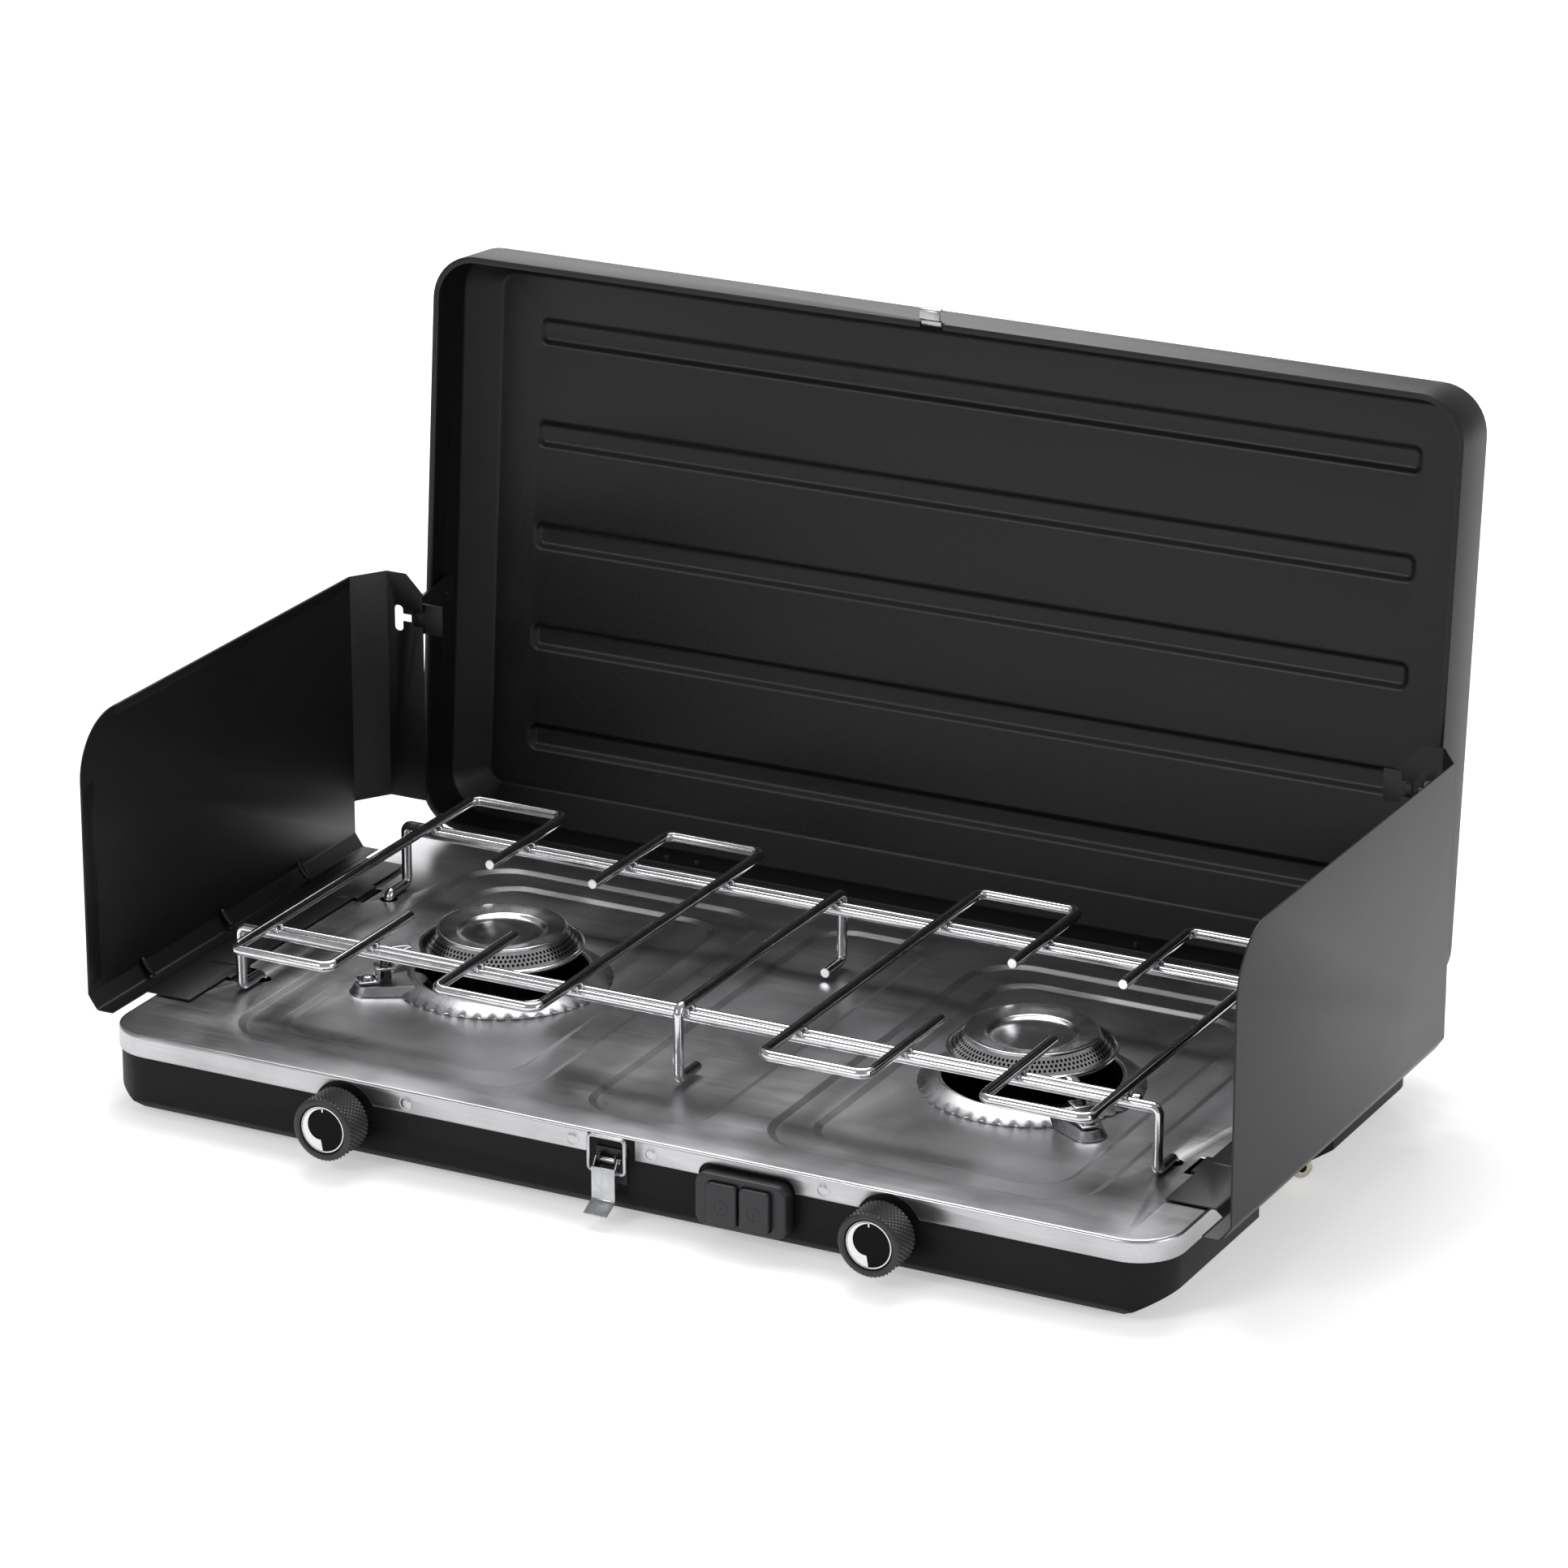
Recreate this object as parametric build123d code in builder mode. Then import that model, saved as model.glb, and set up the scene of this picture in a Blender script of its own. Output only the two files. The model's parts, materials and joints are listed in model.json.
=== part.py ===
"""Two-burner gas camp stove: a pressed-steel case with a stainless cooking plate, a hinged lid,
two folding windscreens, a lift-off wire pot support and the gas, ignition and latch parts inside.

Frame: +X to the cook's right, +Y towards the hinges, +Z up; the origin is on the table,
under the middle of the case. The lid and the windscreens are modelled open. Millimetres.
"""

import math
import os

from build123d import *

os.makedirs("parts", exist_ok=True)

# ---------------------------------------------------------------- driving dimensions
CASE_W, CASE_D = 520.0, 280.0  # outline of the plate, the case and the lid
CORNER_R = 22.0
SHEET = 0.8  # painted steel sheet
FOOT_H = 3.0
PLATE_TOP = 38.6
PLATE_T = 0.6
FLANGE_H = 10.2
CASE_INSET = 1.1  # the case sits inside the flange of the plate
CASE_TOP = PLATE_TOP - 1.6
SIDE_CHAMFER = (18.5, 9.5)  # in from the side wall, up from the bottom
FRONT_CHAMFER = (3.2, 4.0)

HINGE_Y, HINGE_Z = CASE_D / 2 + 2.6, PLATE_TOP + 0.6
LID_OPEN = 94.8
LID_H, LID_WALL = 42.5, 28.5  # full depth, and the straight part of the wall
LID_HEM = (3.0, 2.4)
RIB_PITCH, RIB_W, RIB_H, RIB_LENGTH = 49.8, 15.0, 2.4, 452.0
HINGE_X, HINGE_W = 122.0, 46.0
KNUCKLE_R, HINGE_PIN_R, RUNNING = 2.2, 1.0, 0.05

BURNER_X = 133.2
BURNER_TOP, LIP_Z = 61.5, 53.2
LIP_R, HEAD_TOP_R, DISH_R = 37.8, 29.2, 20.7
POT_R, POT_BOTTOM = 20.0, 13.0
COLLAR_TOP_R, COLLAR_R, COLLAR_TOP = 40.4, 50.8, 41.1
EAR_R, EAR_ANGLE = 62.5, 42.0  # the igniter ear's screw, and its angle towards the front
EMBOSS_DEPTH = 1.3
DRAFT = 48.0  # slope of the pressed walls in the plate and of the lid's ribs
EMBOSS = ((78.7, 119.0, 26.0), (62.3, 103.0, 20.0))  # half width, half depth, corner radius
CENTRE_EMBOSS = (29.5, 121.0, 20.0)

WIRE_R = 2.4
WIRE_Z = 74.3
RAIL_Z = WIRE_Z - 2 * WIRE_R + 0.3
RAIL_Y, LEG_X = 73.5, 226.6
FINGER_Y, FRAME_Y = 36.0, 107.5
WIRES_X = {"a": (-209.7, -159.9), "b": (-55.4, -106.0), "c": (55.4, 106.0), "d": (209.7, 159.9)}
CENTRE_Y = 78.7
FOOT_RUN = 17.0
LEG_HOLE_R = 4.2

VALVE_Z = 21.5
KNOB_R, KNOB_FRONT, KNOB_BACK = 14.8, -160.0, -143.5
STEM_R = 3.0
IGNITER_X, IGNITER_W = 65.6, 43.6
IGNITER_Z = (8.5, 32.5)
BUTTON_W, BUTTON_H, BUTTON_PITCH, BUTTON_GAP = 14.2, 18.4, 15.6, 0.35

SCREEN_X, SCREEN_TOP = 280.0, 172.0
SCREEN_Y = (-118.0, 115.0)
FLAP_Y = (-96.0, 95.0)
SCREEN_AXIS_X, SCREEN_AXIS_Z = 238.5, 36.9
TAB_Y, TAB_W = 56.0, 17.0
REAR_FLANGE_Y, REAR_FLANGE_X, REAR_FLANGE_Z = 131.4, 249.5, 59.0
MOUTH_Z = 150.0  # height of the keyhole's mouth and of the lid clip

LATCH_PIVOT = (-142.6, 27.5)  # y, z of the lever's pin
BAIL_PIVOT = (-144.3, 22.6)
BAIL_TOP, BAIL_HALF_W, BAIL_R = 38.6, 8.8, 0.9

MANIFOLD_Z, MANIFOLD_R, MANIFOLD_Y = 12.0, 3.5, -121.0
BAY_X, BAY_Y, BAY_TOP = 215.0, (-39.0, 45.0), 27.2
INLET_OUT = (0.683, -0.73, 0)  # the way the gas inlet points, square to the bay's rear wall
INLET = (244.0, 30.0)

SIDES = {"left": -1, "right": 1}

# the lid's own frame: its z axis is square to the rim, its y axis points to the hinges
OPEN = math.radians(LID_OPEN)
LID_PLANE = Plane(
    origin=(0, HINGE_Y, HINGE_Z),
    x_dir=(1, 0, 0),
    z_dir=(0, math.sin(OPEN), math.cos(OPEN)),
)
LID_CENTRE = -HINGE_Y  # the middle of the lid along its own y axis


def save(builder, name):
    """Label a finished piece and write it."""
    builder.part.label = name
    export_step(builder.part, f"parts/{name}.step")


def rod(path_points, radius, corner=None):
    """A round wire along straight runs, with a bend of one radius at each corner."""
    with BuildPart() as wire:
        with BuildLine() as path:
            if corner:
                FilletPolyline(*path_points, radius=corner)
            else:
                Polyline(*path_points)
        start = path.line @ 0
        with BuildSketch(Plane(origin=start, z_dir=path.line % 0)):
            Circle(radius)
        sweep(path=path.line)
    return wire.part


def bar(centre, direction, radius, length):
    """A round bar from a centre point along a direction."""
    with BuildPart() as round_bar:
        with BuildSketch(Plane(origin=centre, z_dir=direction)):
            Circle(radius)
        extrude(amount=length)
    return round_bar.part


# ---------------------------------------------------------------- case
def case_solid(shrink, bottom):
    """The case's outer form, or the space inside it when shrunk by the sheet."""
    half_w = CASE_W / 2 - CASE_INSET - shrink
    half_d = CASE_D / 2 - CASE_INSET - shrink
    side_in, side_up = SIDE_CHAMFER
    front_in, front_up = FRONT_CHAMFER
    top = CASE_TOP + shrink
    with BuildPart() as form:
        with BuildSketch(Plane.XY.offset(bottom)):
            RectangleRounded(2 * half_w, 2 * half_d, CORNER_R - CASE_INSET - shrink)
        extrude(amount=top - bottom)
        with BuildSketch(Plane.XZ):
            with BuildLine():
                Polyline(
                    (-half_w, top), (-half_w, bottom + side_up), (side_in - half_w, bottom),
                    (half_w - side_in, bottom), (half_w, bottom + side_up), (half_w, top),
                    close=True,
                )
            make_face()
        extrude(amount=CASE_D, both=True, mode=Mode.INTERSECT)
        with BuildSketch(Plane.YZ):
            with BuildLine():
                Polyline(
                    (-half_d, top), (-half_d, bottom + front_up), (front_in - half_d, bottom),
                    (half_d - front_in, bottom), (half_d, bottom + front_up), (half_d, top),
                    close=True,
                )
            make_face()
        extrude(amount=CASE_W, both=True, mode=Mode.INTERSECT)
    return form.part


def bay_solid(grow):
    """The recess in the right side for the gas hose, with a slanting rear wall."""
    with BuildPart() as bay:
        with BuildSketch():
            with BuildLine():
                Polyline(
                    (BAY_X - grow, 1 + grow), (BAY_X - grow, BAY_Y[0] + 6 - grow),
                    (CASE_W / 2 + 5, BAY_Y[0] - grow), (CASE_W / 2 + 5, BAY_Y[1] + 3 + grow),
                    close=True,
                )
            make_face()
        extrude(amount=BAY_TOP + grow)
    return bay.part


with BuildPart() as base_case:
    add(case_solid(0, FOOT_H))
    add(case_solid(SHEET, FOOT_H + SHEET), mode=Mode.SUBTRACT)
    add(bay_solid(SHEET) & case_solid(0, FOOT_H))
    add(bay_solid(0), mode=Mode.SUBTRACT)
    front_wall = Plane.XZ.offset(CASE_D / 2 + 5)
    with BuildSketch(front_wall):
        with Locations(*[(side * BURNER_X, VALVE_Z) for side in SIDES.values()]):
            Circle(STEM_R + 2)
        with Locations((IGNITER_X, sum(IGNITER_Z) / 2)):
            RectangleRounded(2 * BUTTON_PITCH, BUTTON_H + 1, 1.5)
    extrude(amount=-14, mode=Mode.SUBTRACT)
    inlet_wall = Plane(origin=(*INLET, MANIFOLD_Z), z_dir=INLET_OUT)
    with BuildSketch(inlet_wall.offset(-12)):
        Circle(6.2)
    extrude(amount=24, mode=Mode.SUBTRACT)
save(base_case, "base_case")

with BuildPart() as case_feet:
    with BuildSketch():
        with GridLocations(CASE_W - 120, CASE_D - 60, 2, 2):
            Circle(9)
        Circle(9)
    extrude(amount=FOOT_H)
    chamfer(case_feet.edges().group_by(Axis.Z)[0], 0.6)
save(case_feet, "case_feet")


# ---------------------------------------------------------------- cooking plate
def emboss_pockets(grow, top):
    """The sunk panels: two nested ones round each burner and one between them."""
    draw_in = EMBOSS_DEPTH * math.tan(math.radians(DRAFT)) - grow
    with BuildPart() as pockets:
        for level, (half_w, half_d, radius) in enumerate(EMBOSS):
            with BuildSketch(Plane.XY.offset(top - EMBOSS_DEPTH * (level + 1))):
                with Locations(*[(side * BURNER_X, 0) for side in SIDES.values()]):
                    RectangleRounded(2 * (half_w - draw_in), 2 * (half_d - draw_in), radius - draw_in)
            extrude(amount=EMBOSS_DEPTH * (level + 1) + 1, taper=-DRAFT)
        half_w, half_d, radius = CENTRE_EMBOSS
        with BuildSketch(Plane.XY.offset(top - EMBOSS_DEPTH)):
            RectangleRounded(2 * (half_w - draw_in), 2 * (half_d - draw_in), radius - draw_in)
        extrude(amount=EMBOSS_DEPTH + 1, taper=-DRAFT)
    return pockets.part


def plate_solid(shrink, top, bottom):
    """A block under the cooking plate's upper face."""
    with BuildPart() as block:
        with BuildSketch(Plane.XY.offset(bottom)):
            RectangleRounded(CASE_W - 2 * shrink, CASE_D - 2 * shrink, CORNER_R - shrink)
        extrude(amount=top - bottom)
        fillet(block.faces().sort_by(Axis.Z)[-1].edges(), 1.6 - shrink)
        add(emboss_pockets(shrink, top), mode=Mode.SUBTRACT)
    return block.part


with BuildPart() as top_plate:
    flange_bottom = PLATE_TOP - FLANGE_H
    add(plate_solid(0, PLATE_TOP, flange_bottom))
    add(plate_solid(PLATE_T, PLATE_TOP - PLATE_T, flange_bottom - 5), mode=Mode.SUBTRACT)
    with BuildSketch(Plane.XY.offset(PLATE_TOP + 2)):
        for side in SIDES.values():
            with Locations((side * BURNER_X, 0)):
                Circle(COLLAR_TOP_R + 1.2)
            with Locations(*[(side * LEG_X, end * (RAIL_Y - FOOT_RUN)) for end in (-1, 1)]):
                Circle(LEG_HOLE_R)
            with Locations(*[(side * (SCREEN_AXIS_X - 0.85), end * TAB_Y) for end in (-1, 1)]):
                Rectangle(5.5, TAB_W + 1.5)
    extrude(amount=-10, mode=Mode.SUBTRACT)
    with BuildSketch(front_wall):
        with Locations(*[(side * BURNER_X, VALVE_Z) for side in SIDES.values()]):
            Circle(KNOB_R + 1)
        with Locations((IGNITER_X, sum(IGNITER_Z) / 2 + 1)):
            RectangleRounded(IGNITER_W + 2.4, IGNITER_Z[1] - IGNITER_Z[0] + 2.4, 6)
        with Locations((0, flange_bottom)):
            Rectangle(23, 18)
    extrude(amount=-10, mode=Mode.SUBTRACT)
save(top_plate, "top_plate")

with BuildPart() as flange_rivets:
    with BuildSketch(Plane.XZ.offset(CASE_D / 2)):
        with Locations(*[(x, PLATE_TOP - 5.8) for x in (-102, -19.2, 19.2, 102)]):
            Circle(2.4)
    extrude(amount=0.6)
save(flange_rivets, "flange_rivets")


# ---------------------------------------------------------------- burners
def revolve_at(points, centre_x):
    """Turn a closed profile of radius and height pairs about a burner's upright axis."""
    with BuildPart() as turned:
        with BuildSketch(Plane.XZ.move(Location((centre_x, 0, 0)))):
            with BuildLine():
                Polyline(*points, close=True)
            make_face()
        revolve(axis=Axis((centre_x, 0, 0), (0, 0, 1)))
    return turned.part


def ear_solid(centre, angle, width, top, bottom):
    """The boss that carries the electrode, from the collar out to its screw."""
    with BuildPart() as ear:
        with BuildSketch(Plane(origin=(*centre, bottom), x_dir=(1, 0, 0)).rotated((0, 0, angle))):
            with Locations((EAR_R, 0)):
                Circle(width)
            with BuildLine():
                Polyline(
                    (EAR_R, width), (COLLAR_TOP_R + 3, width + 5),
                    (COLLAR_TOP_R + 3, -width - 5), (EAR_R, -width), close=True,
                )
            make_face()
        extrude(amount=top - bottom)
    return ear.part


def burner(side_name):
    """One burner's own pieces, with its electrode, gas valve and knob."""
    side = SIDES[side_name]
    x = side * BURNER_X
    angle = -EAR_ANGLE if side > 0 else 180 + EAR_ANGLE
    outward = (math.cos(math.radians(angle)), math.sin(math.radians(angle)))
    seat = PLATE_TOP - 2 * EMBOSS_DEPTH

    def at(radius):
        """A point over the ear, at a radius from the burner's axis."""
        return (x + radius * outward[0], radius * outward[1])

    with BuildPart() as collar:
        top_out, bottom_out = COLLAR_TOP_R + 0.3, COLLAR_R
        add(revolve_at([
            (COLLAR_TOP_R - 0.6, seat - 4), (COLLAR_TOP_R, seat - 4), (COLLAR_TOP_R, COLLAR_TOP - 1),
            (bottom_out, seat), (bottom_out, seat + 0.7), (top_out, COLLAR_TOP),
            (COLLAR_TOP_R - 0.6, COLLAR_TOP),
        ], x))
        add(ear_solid((x, 0), angle, 7.6, COLLAR_TOP - 0.2, seat))
        add(ear_solid((x, 0), angle, 6.8, COLLAR_TOP - 1, seat) - revolve_at([
            (0, seat), (COLLAR_R - 3, seat), (COLLAR_R - 3, COLLAR_TOP), (0, COLLAR_TOP),
        ], x), mode=Mode.SUBTRACT)
        with Locations((*at(EAR_R), COLLAR_TOP)):
            Cylinder(1.6, 6, mode=Mode.SUBTRACT)
    save(collar, f"burner_collar_{side_name}")

    with BuildPart() as pot:
        wall = 1.0
        add(revolve_at([
            (0, POT_BOTTOM), (POT_R, POT_BOTTOM), (POT_R, 44), (LIP_R - 2, LIP_Z - 3),
            (LIP_R, LIP_Z - 2.4), (LIP_R, LIP_Z - 0.4), (LIP_R - wall, LIP_Z - 0.4),
            (LIP_R - wall - 1.6, LIP_Z - 2), (POT_R - wall, 44.6), (POT_R - wall, POT_BOTTOM + wall),
            (0, POT_BOTTOM + wall),
        ], x))
        add(bar((x, -POT_R - 4, VALVE_Z), (0, 1, 0), 7, POT_R), mode=Mode.SUBTRACT)
    save(pot, f"burner_pot_{side_name}")

    with BuildPart() as head:
        add(revolve_at([
            (LIP_R + 0.2, LIP_Z - 0.4), (LIP_R + 0.2, LIP_Z + 0.6), (LIP_R - 1, LIP_Z + 1.2),
            (HEAD_TOP_R + 0.8, BURNER_TOP - 1), (HEAD_TOP_R, BURNER_TOP - 1),
            (LIP_R - 2.4, LIP_Z + 0.6), (LIP_R - 2.4, LIP_Z - 0.4),
        ], x))
    save(head, f"burner_head_{side_name}")

    with BuildPart() as disc:
        add(revolve_at([
            (HEAD_TOP_R + 0.8, BURNER_TOP - 1), (HEAD_TOP_R + 0.2, BURNER_TOP), (DISH_R, BURNER_TOP - 1.8),
            (DISH_R * 0.6, BURNER_TOP - 3.2), (0, BURNER_TOP - 3.8), (0, BURNER_TOP - 4.6),
            (DISH_R * 0.6, BURNER_TOP - 4), (DISH_R, BURNER_TOP - 2.6), (HEAD_TOP_R, BURNER_TOP - 1),
        ], x))
    save(disc, f"burner_disc_{side_name}")

    with BuildPart() as mixer_tube:
        with BuildSketch(Plane(origin=(x, -98, VALVE_Z), z_dir=(0, 1, 0))):
            Circle(7)
            Circle(6, mode=Mode.SUBTRACT)
        extrude(amount=98 - POT_R + 3)
        with BuildSketch(Plane(origin=(x, -98, VALVE_Z), z_dir=(0, 1, 0))):
            Circle(9)
            Circle(6, mode=Mode.SUBTRACT)
        extrude(amount=3)
    save(mixer_tube, f"mixer_tube_{side_name}")

    with BuildPart() as gas_valve:
        with Locations((x, -123, (MANIFOLD_Z + 29) / 2)):
            Box(16, 22, 29 - MANIFOLD_Z)
        add(bar((x, MANIFOLD_Y - 16, VALVE_Z), (0, 1, 0), 6, 6))
        add(bar((x - 10, MANIFOLD_Y, MANIFOLD_Z), (1, 0, 0), MANIFOLD_R, 20), mode=Mode.SUBTRACT)
        add(bar((x, MANIFOLD_Y - 18, VALVE_Z), (0, 1, 0), STEM_R + RUNNING, 12), mode=Mode.SUBTRACT)
    save(gas_valve, f"gas_valve_{side_name}")

    with BuildPart() as valve_stem:
        add(bar((x, -157, VALVE_Z), (0, 1, 0), STEM_R, 28))
    save(valve_stem, f"valve_stem_{side_name}")

    with BuildPart() as knob:
        with BuildSketch(Plane(origin=(x, KNOB_FRONT, VALVE_Z), z_dir=(0, 1, 0))):
            Circle(KNOB_R)
        extrude(amount=KNOB_BACK - KNOB_FRONT)
        fillet(knob.edges().filter_by(GeomType.CIRCLE), 0.8)
        add(bar((x, KNOB_FRONT - 1, VALVE_Z), (0, 1, 0), KNOB_R - 4, 2.2), mode=Mode.SUBTRACT)
        add(bar((x, -157, VALVE_Z), (0, 1, 0), STEM_R, 20), mode=Mode.SUBTRACT)
    save(knob, f"knob_{side_name}")

    with BuildPart() as knob_dial:
        add(bar((x, KNOB_FRONT + 0.6, VALVE_Z), (0, 1, 0), KNOB_R - 4.1, 0.6))
    save(knob_dial, f"knob_dial_{side_name}")

    with BuildPart() as electrode:
        with Locations((*at(54), COLLAR_TOP + 4.8)):
            Cylinder(2.6, 10)
    save(electrode, f"electrode_{side_name}")

    with BuildPart() as spark_tip:
        add(rod([(*at(54), COLLAR_TOP + 9.8), (*at(54), COLLAR_TOP + 12.5),
                 (*at(42), COLLAR_TOP + 15)], 0.8, 1.2))
    save(spark_tip, f"spark_tip_{side_name}")

    with BuildPart() as bracket:
        base = Plane(origin=(x, 0, COLLAR_TOP - 0.2), x_dir=(1, 0, 0)).rotated((0, 0, angle))
        with BuildSketch(base):
            with Locations((EAR_R, 0)):
                Rectangle(9, 9)
        extrude(amount=1)
        with BuildSketch(base):
            with Locations((EAR_R - 4, 0)):
                Rectangle(1, 9)
        extrude(amount=7)
        with BuildSketch(base.offset(6)):
            with Locations((54.5, 0)):
                Rectangle(9, 9)
        extrude(amount=1)
        with Locations((*at(54), COLLAR_TOP + 4)):
            Cylinder(2.65, 10, mode=Mode.SUBTRACT)
        with Locations((*at(EAR_R), COLLAR_TOP)):
            Cylinder(1.6, 6, mode=Mode.SUBTRACT)
    save(bracket, f"electrode_bracket_{side_name}")
    return at(EAR_R)


ear_screws_at = [burner(side_name) for side_name in SIDES]

with BuildPart() as ear_screws:
    for centre in ear_screws_at:
        with BuildSketch(Plane.XY.offset(COLLAR_TOP + 0.8)):
            with Locations(centre):
                Circle(3)
        extrude(amount=1.8)
        with BuildSketch(Plane.XY.offset(COLLAR_TOP - 4)):
            with Locations(centre):
                Circle(1.5)
        extrude(amount=5)
save(ear_screws, "ear_screws")

# ---------------------------------------------------------------- gas supply
with BuildPart() as gas_jets:
    for side in SIDES.values():
        add(bar((side * BURNER_X, -112, VALVE_Z), (0, 1, 0), 4, 8))
        add(bar((side * BURNER_X, -104, VALVE_Z), (0, 1, 0), 2, 3))
save(gas_jets, "gas_jets")

with BuildPart() as gas_manifold:
    inner_end, turn = [
        (INLET[0] - depth * INLET_OUT[0], INLET[1] - depth * INLET_OUT[1], MANIFOLD_Z)
        for depth in (13, 48)
    ]
    add(rod([
        (-BURNER_X - 12, MANIFOLD_Y, MANIFOLD_Z), (196, MANIFOLD_Y, MANIFOLD_Z),
        (196, turn[1], MANIFOLD_Z), turn, inner_end,
    ], MANIFOLD_R, 7))
save(gas_manifold, "gas_manifold")

with BuildPart() as gas_inlet:
    with BuildSketch(inlet_wall.offset(-13)):
        Circle(6)
    extrude(amount=14)
    with BuildSketch(inlet_wall.offset(1)):
        RegularPolygon(8.6, 6)
    extrude(amount=4)
    with BuildSketch(inlet_wall.offset(5)):
        Circle(5)
    extrude(amount=10)
    chamfer(gas_inlet.faces().sort_by(Axis((0, 0, 0), INLET_OUT))[-1].edges(), 0.8)
    with BuildSketch(inlet_wall.offset(15)):
        Circle(2)
    extrude(amount=-8, mode=Mode.SUBTRACT)
save(gas_inlet, "gas_inlet")

# ---------------------------------------------------------------- igniter
igniter_mid = sum(IGNITER_Z) / 2
with BuildPart() as igniter_bezel:
    with BuildSketch(Plane.XZ.offset(CASE_D / 2 - CASE_INSET + 0.05)):
        with Locations((IGNITER_X, igniter_mid)):
            RectangleRounded(IGNITER_W, IGNITER_Z[1] - IGNITER_Z[0], 5)
    extrude(amount=7.6)
    fillet(igniter_bezel.faces().sort_by(Axis.Y)[0].edges(), 1.5)
    with BuildSketch(Plane.XZ.offset(CASE_D / 2 + 12)):
        with Locations(*[(IGNITER_X + end * BUTTON_PITCH / 2, igniter_mid) for end in (-1, 1)]):
            RectangleRounded(BUTTON_W + 2 * BUTTON_GAP, BUTTON_H + 2 * BUTTON_GAP, 2)
    extrude(amount=-20, mode=Mode.SUBTRACT)
save(igniter_bezel, "igniter_bezel")

for side_name, side in SIDES.items():
    button_x = IGNITER_X + side * BUTTON_PITCH / 2
    with BuildPart() as igniter_button:
        with BuildSketch(Plane.XZ.offset(149)):
            with Locations((button_x, igniter_mid)):
                RectangleRounded(BUTTON_W, BUTTON_H, 1.8)
        extrude(amount=-7)
        fillet(igniter_button.faces().sort_by(Axis.Y)[0].edges(), 0.8)
        add(bar((button_x, -142.5, igniter_mid), (0, 1, 0), 3, 13))
    save(igniter_button, f"igniter_button_{side_name}")

with BuildPart() as piezo_units:
    for side in SIDES.values():
        button_x = IGNITER_X + side * BUTTON_PITCH / 2
        with Locations((button_x, -119.5, igniter_mid + 1.5)):
            Box(13, 26, 12)
        add(bar((button_x, -133, igniter_mid), (0, 1, 0), 3.3, 10), mode=Mode.SUBTRACT)
save(piezo_units, "piezo_units")


# ---------------------------------------------------------------- pot support
for name, (outer_x, inner_x) in WIRES_X.items():
    with BuildPart() as cross_wire:
        add(rod([
            (inner_x, -FINGER_Y, WIRE_Z), (inner_x, -FRAME_Y, WIRE_Z), (outer_x, -FRAME_Y, WIRE_Z),
            (outer_x, FRAME_Y, WIRE_Z), (inner_x, FRAME_Y, WIRE_Z), (inner_x, FINGER_Y, WIRE_Z),
        ], WIRE_R, 5))
    save(cross_wire, f"cross_wire_{name}")

foot_z = PLATE_TOP + WIRE_R + 0.1
with BuildPart() as centre_wire:
    add(rod([
        (0, -CENTRE_Y + FOOT_RUN - 4, foot_z), (0, -CENTRE_Y, foot_z), (0, -CENTRE_Y, WIRE_Z),
        (0, CENTRE_Y, WIRE_Z), (0, CENTRE_Y, foot_z), (0, CENTRE_Y - FOOT_RUN + 4, foot_z),
    ], WIRE_R, 3.5))
save(centre_wire, "centre_wire")

for end_name, end in {"front": -1, "rear": 1}.items():
    with BuildPart() as leg_rail:
        y, hole_y = end * RAIL_Y, end * (RAIL_Y - FOOT_RUN)
        add(rod([
            (-LEG_X, hole_y, PLATE_TOP - 4), (-LEG_X, hole_y, foot_z), (-LEG_X, y, foot_z),
            (-LEG_X, y, RAIL_Z), (LEG_X, y, RAIL_Z), (LEG_X, y, foot_z), (LEG_X, hole_y, foot_z),
            (LEG_X, hole_y, PLATE_TOP - 4),
        ], WIRE_R, 2.9))
    save(leg_rail, f"leg_rail_{end_name}")

with BuildPart() as doubling_rods:
    for end in (-1, 1):
        add(bar((-216, end * (RAIL_Y - 2 * WIRE_R), RAIL_Z), (1, 0, 0), WIRE_R, 432))
save(doubling_rods, "doubling_rods")


# ---------------------------------------------------------------- lid
def lid_solid(shrink, height):
    """The lid's outer form, or the tray inside it when shrunk by the sheet."""
    with BuildPart() as form:
        with BuildSketch(LID_PLANE):
            with Locations((0, LID_CENTRE)):
                RectangleRounded(CASE_W - 2 * shrink, CASE_D - 2 * shrink, CORNER_R - shrink)
        extrude(amount=height)
        slope = LID_H - LID_WALL - shrink * (2 - math.sqrt(2))
        panel = form.faces().sort_by(Axis((0, 0, 0), LID_PLANE.z_dir))[-1]
        chamfer(panel.edges(), slope)
        with BuildSketch(LID_PLANE.offset(height)):
            with Locations((0, LID_CENTRE)):
                with GridLocations(1, RIB_PITCH, 1, 5):
                    RectangleRounded(RIB_LENGTH - 2 * shrink, RIB_W - 2 * shrink, 4.5)
        extrude(amount=RIB_H, taper=DRAFT)
    return form.part


# two rivets through each hinge leaf and one through each clip, all seen inside the lid
lid_rear_wall = Plane(
    origin=LID_PLANE.from_local_coords((0, -7, 0)),
    x_dir=(1, 0, 0),
    z_dir=LID_PLANE.y_dir,
)
hinge_rivet_x = [side * HINGE_X + end * 8 for side in SIDES.values() for end in (-1, 1)]
with BuildPart() as lid_rivets:
    with BuildSketch(lid_rear_wall):
        with Locations(*[(x, -8.5) for x in hinge_rivet_x]):
            Circle(1.7)
    extrude(amount=5.4)
    for side in SIDES.values():
        add(bar((side * (CASE_W / 2 - 6.4), 163, MOUTH_Z + 3), (side, 0, 0), 1.8, 6))
save(lid_rivets, "lid_rivets")

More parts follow.
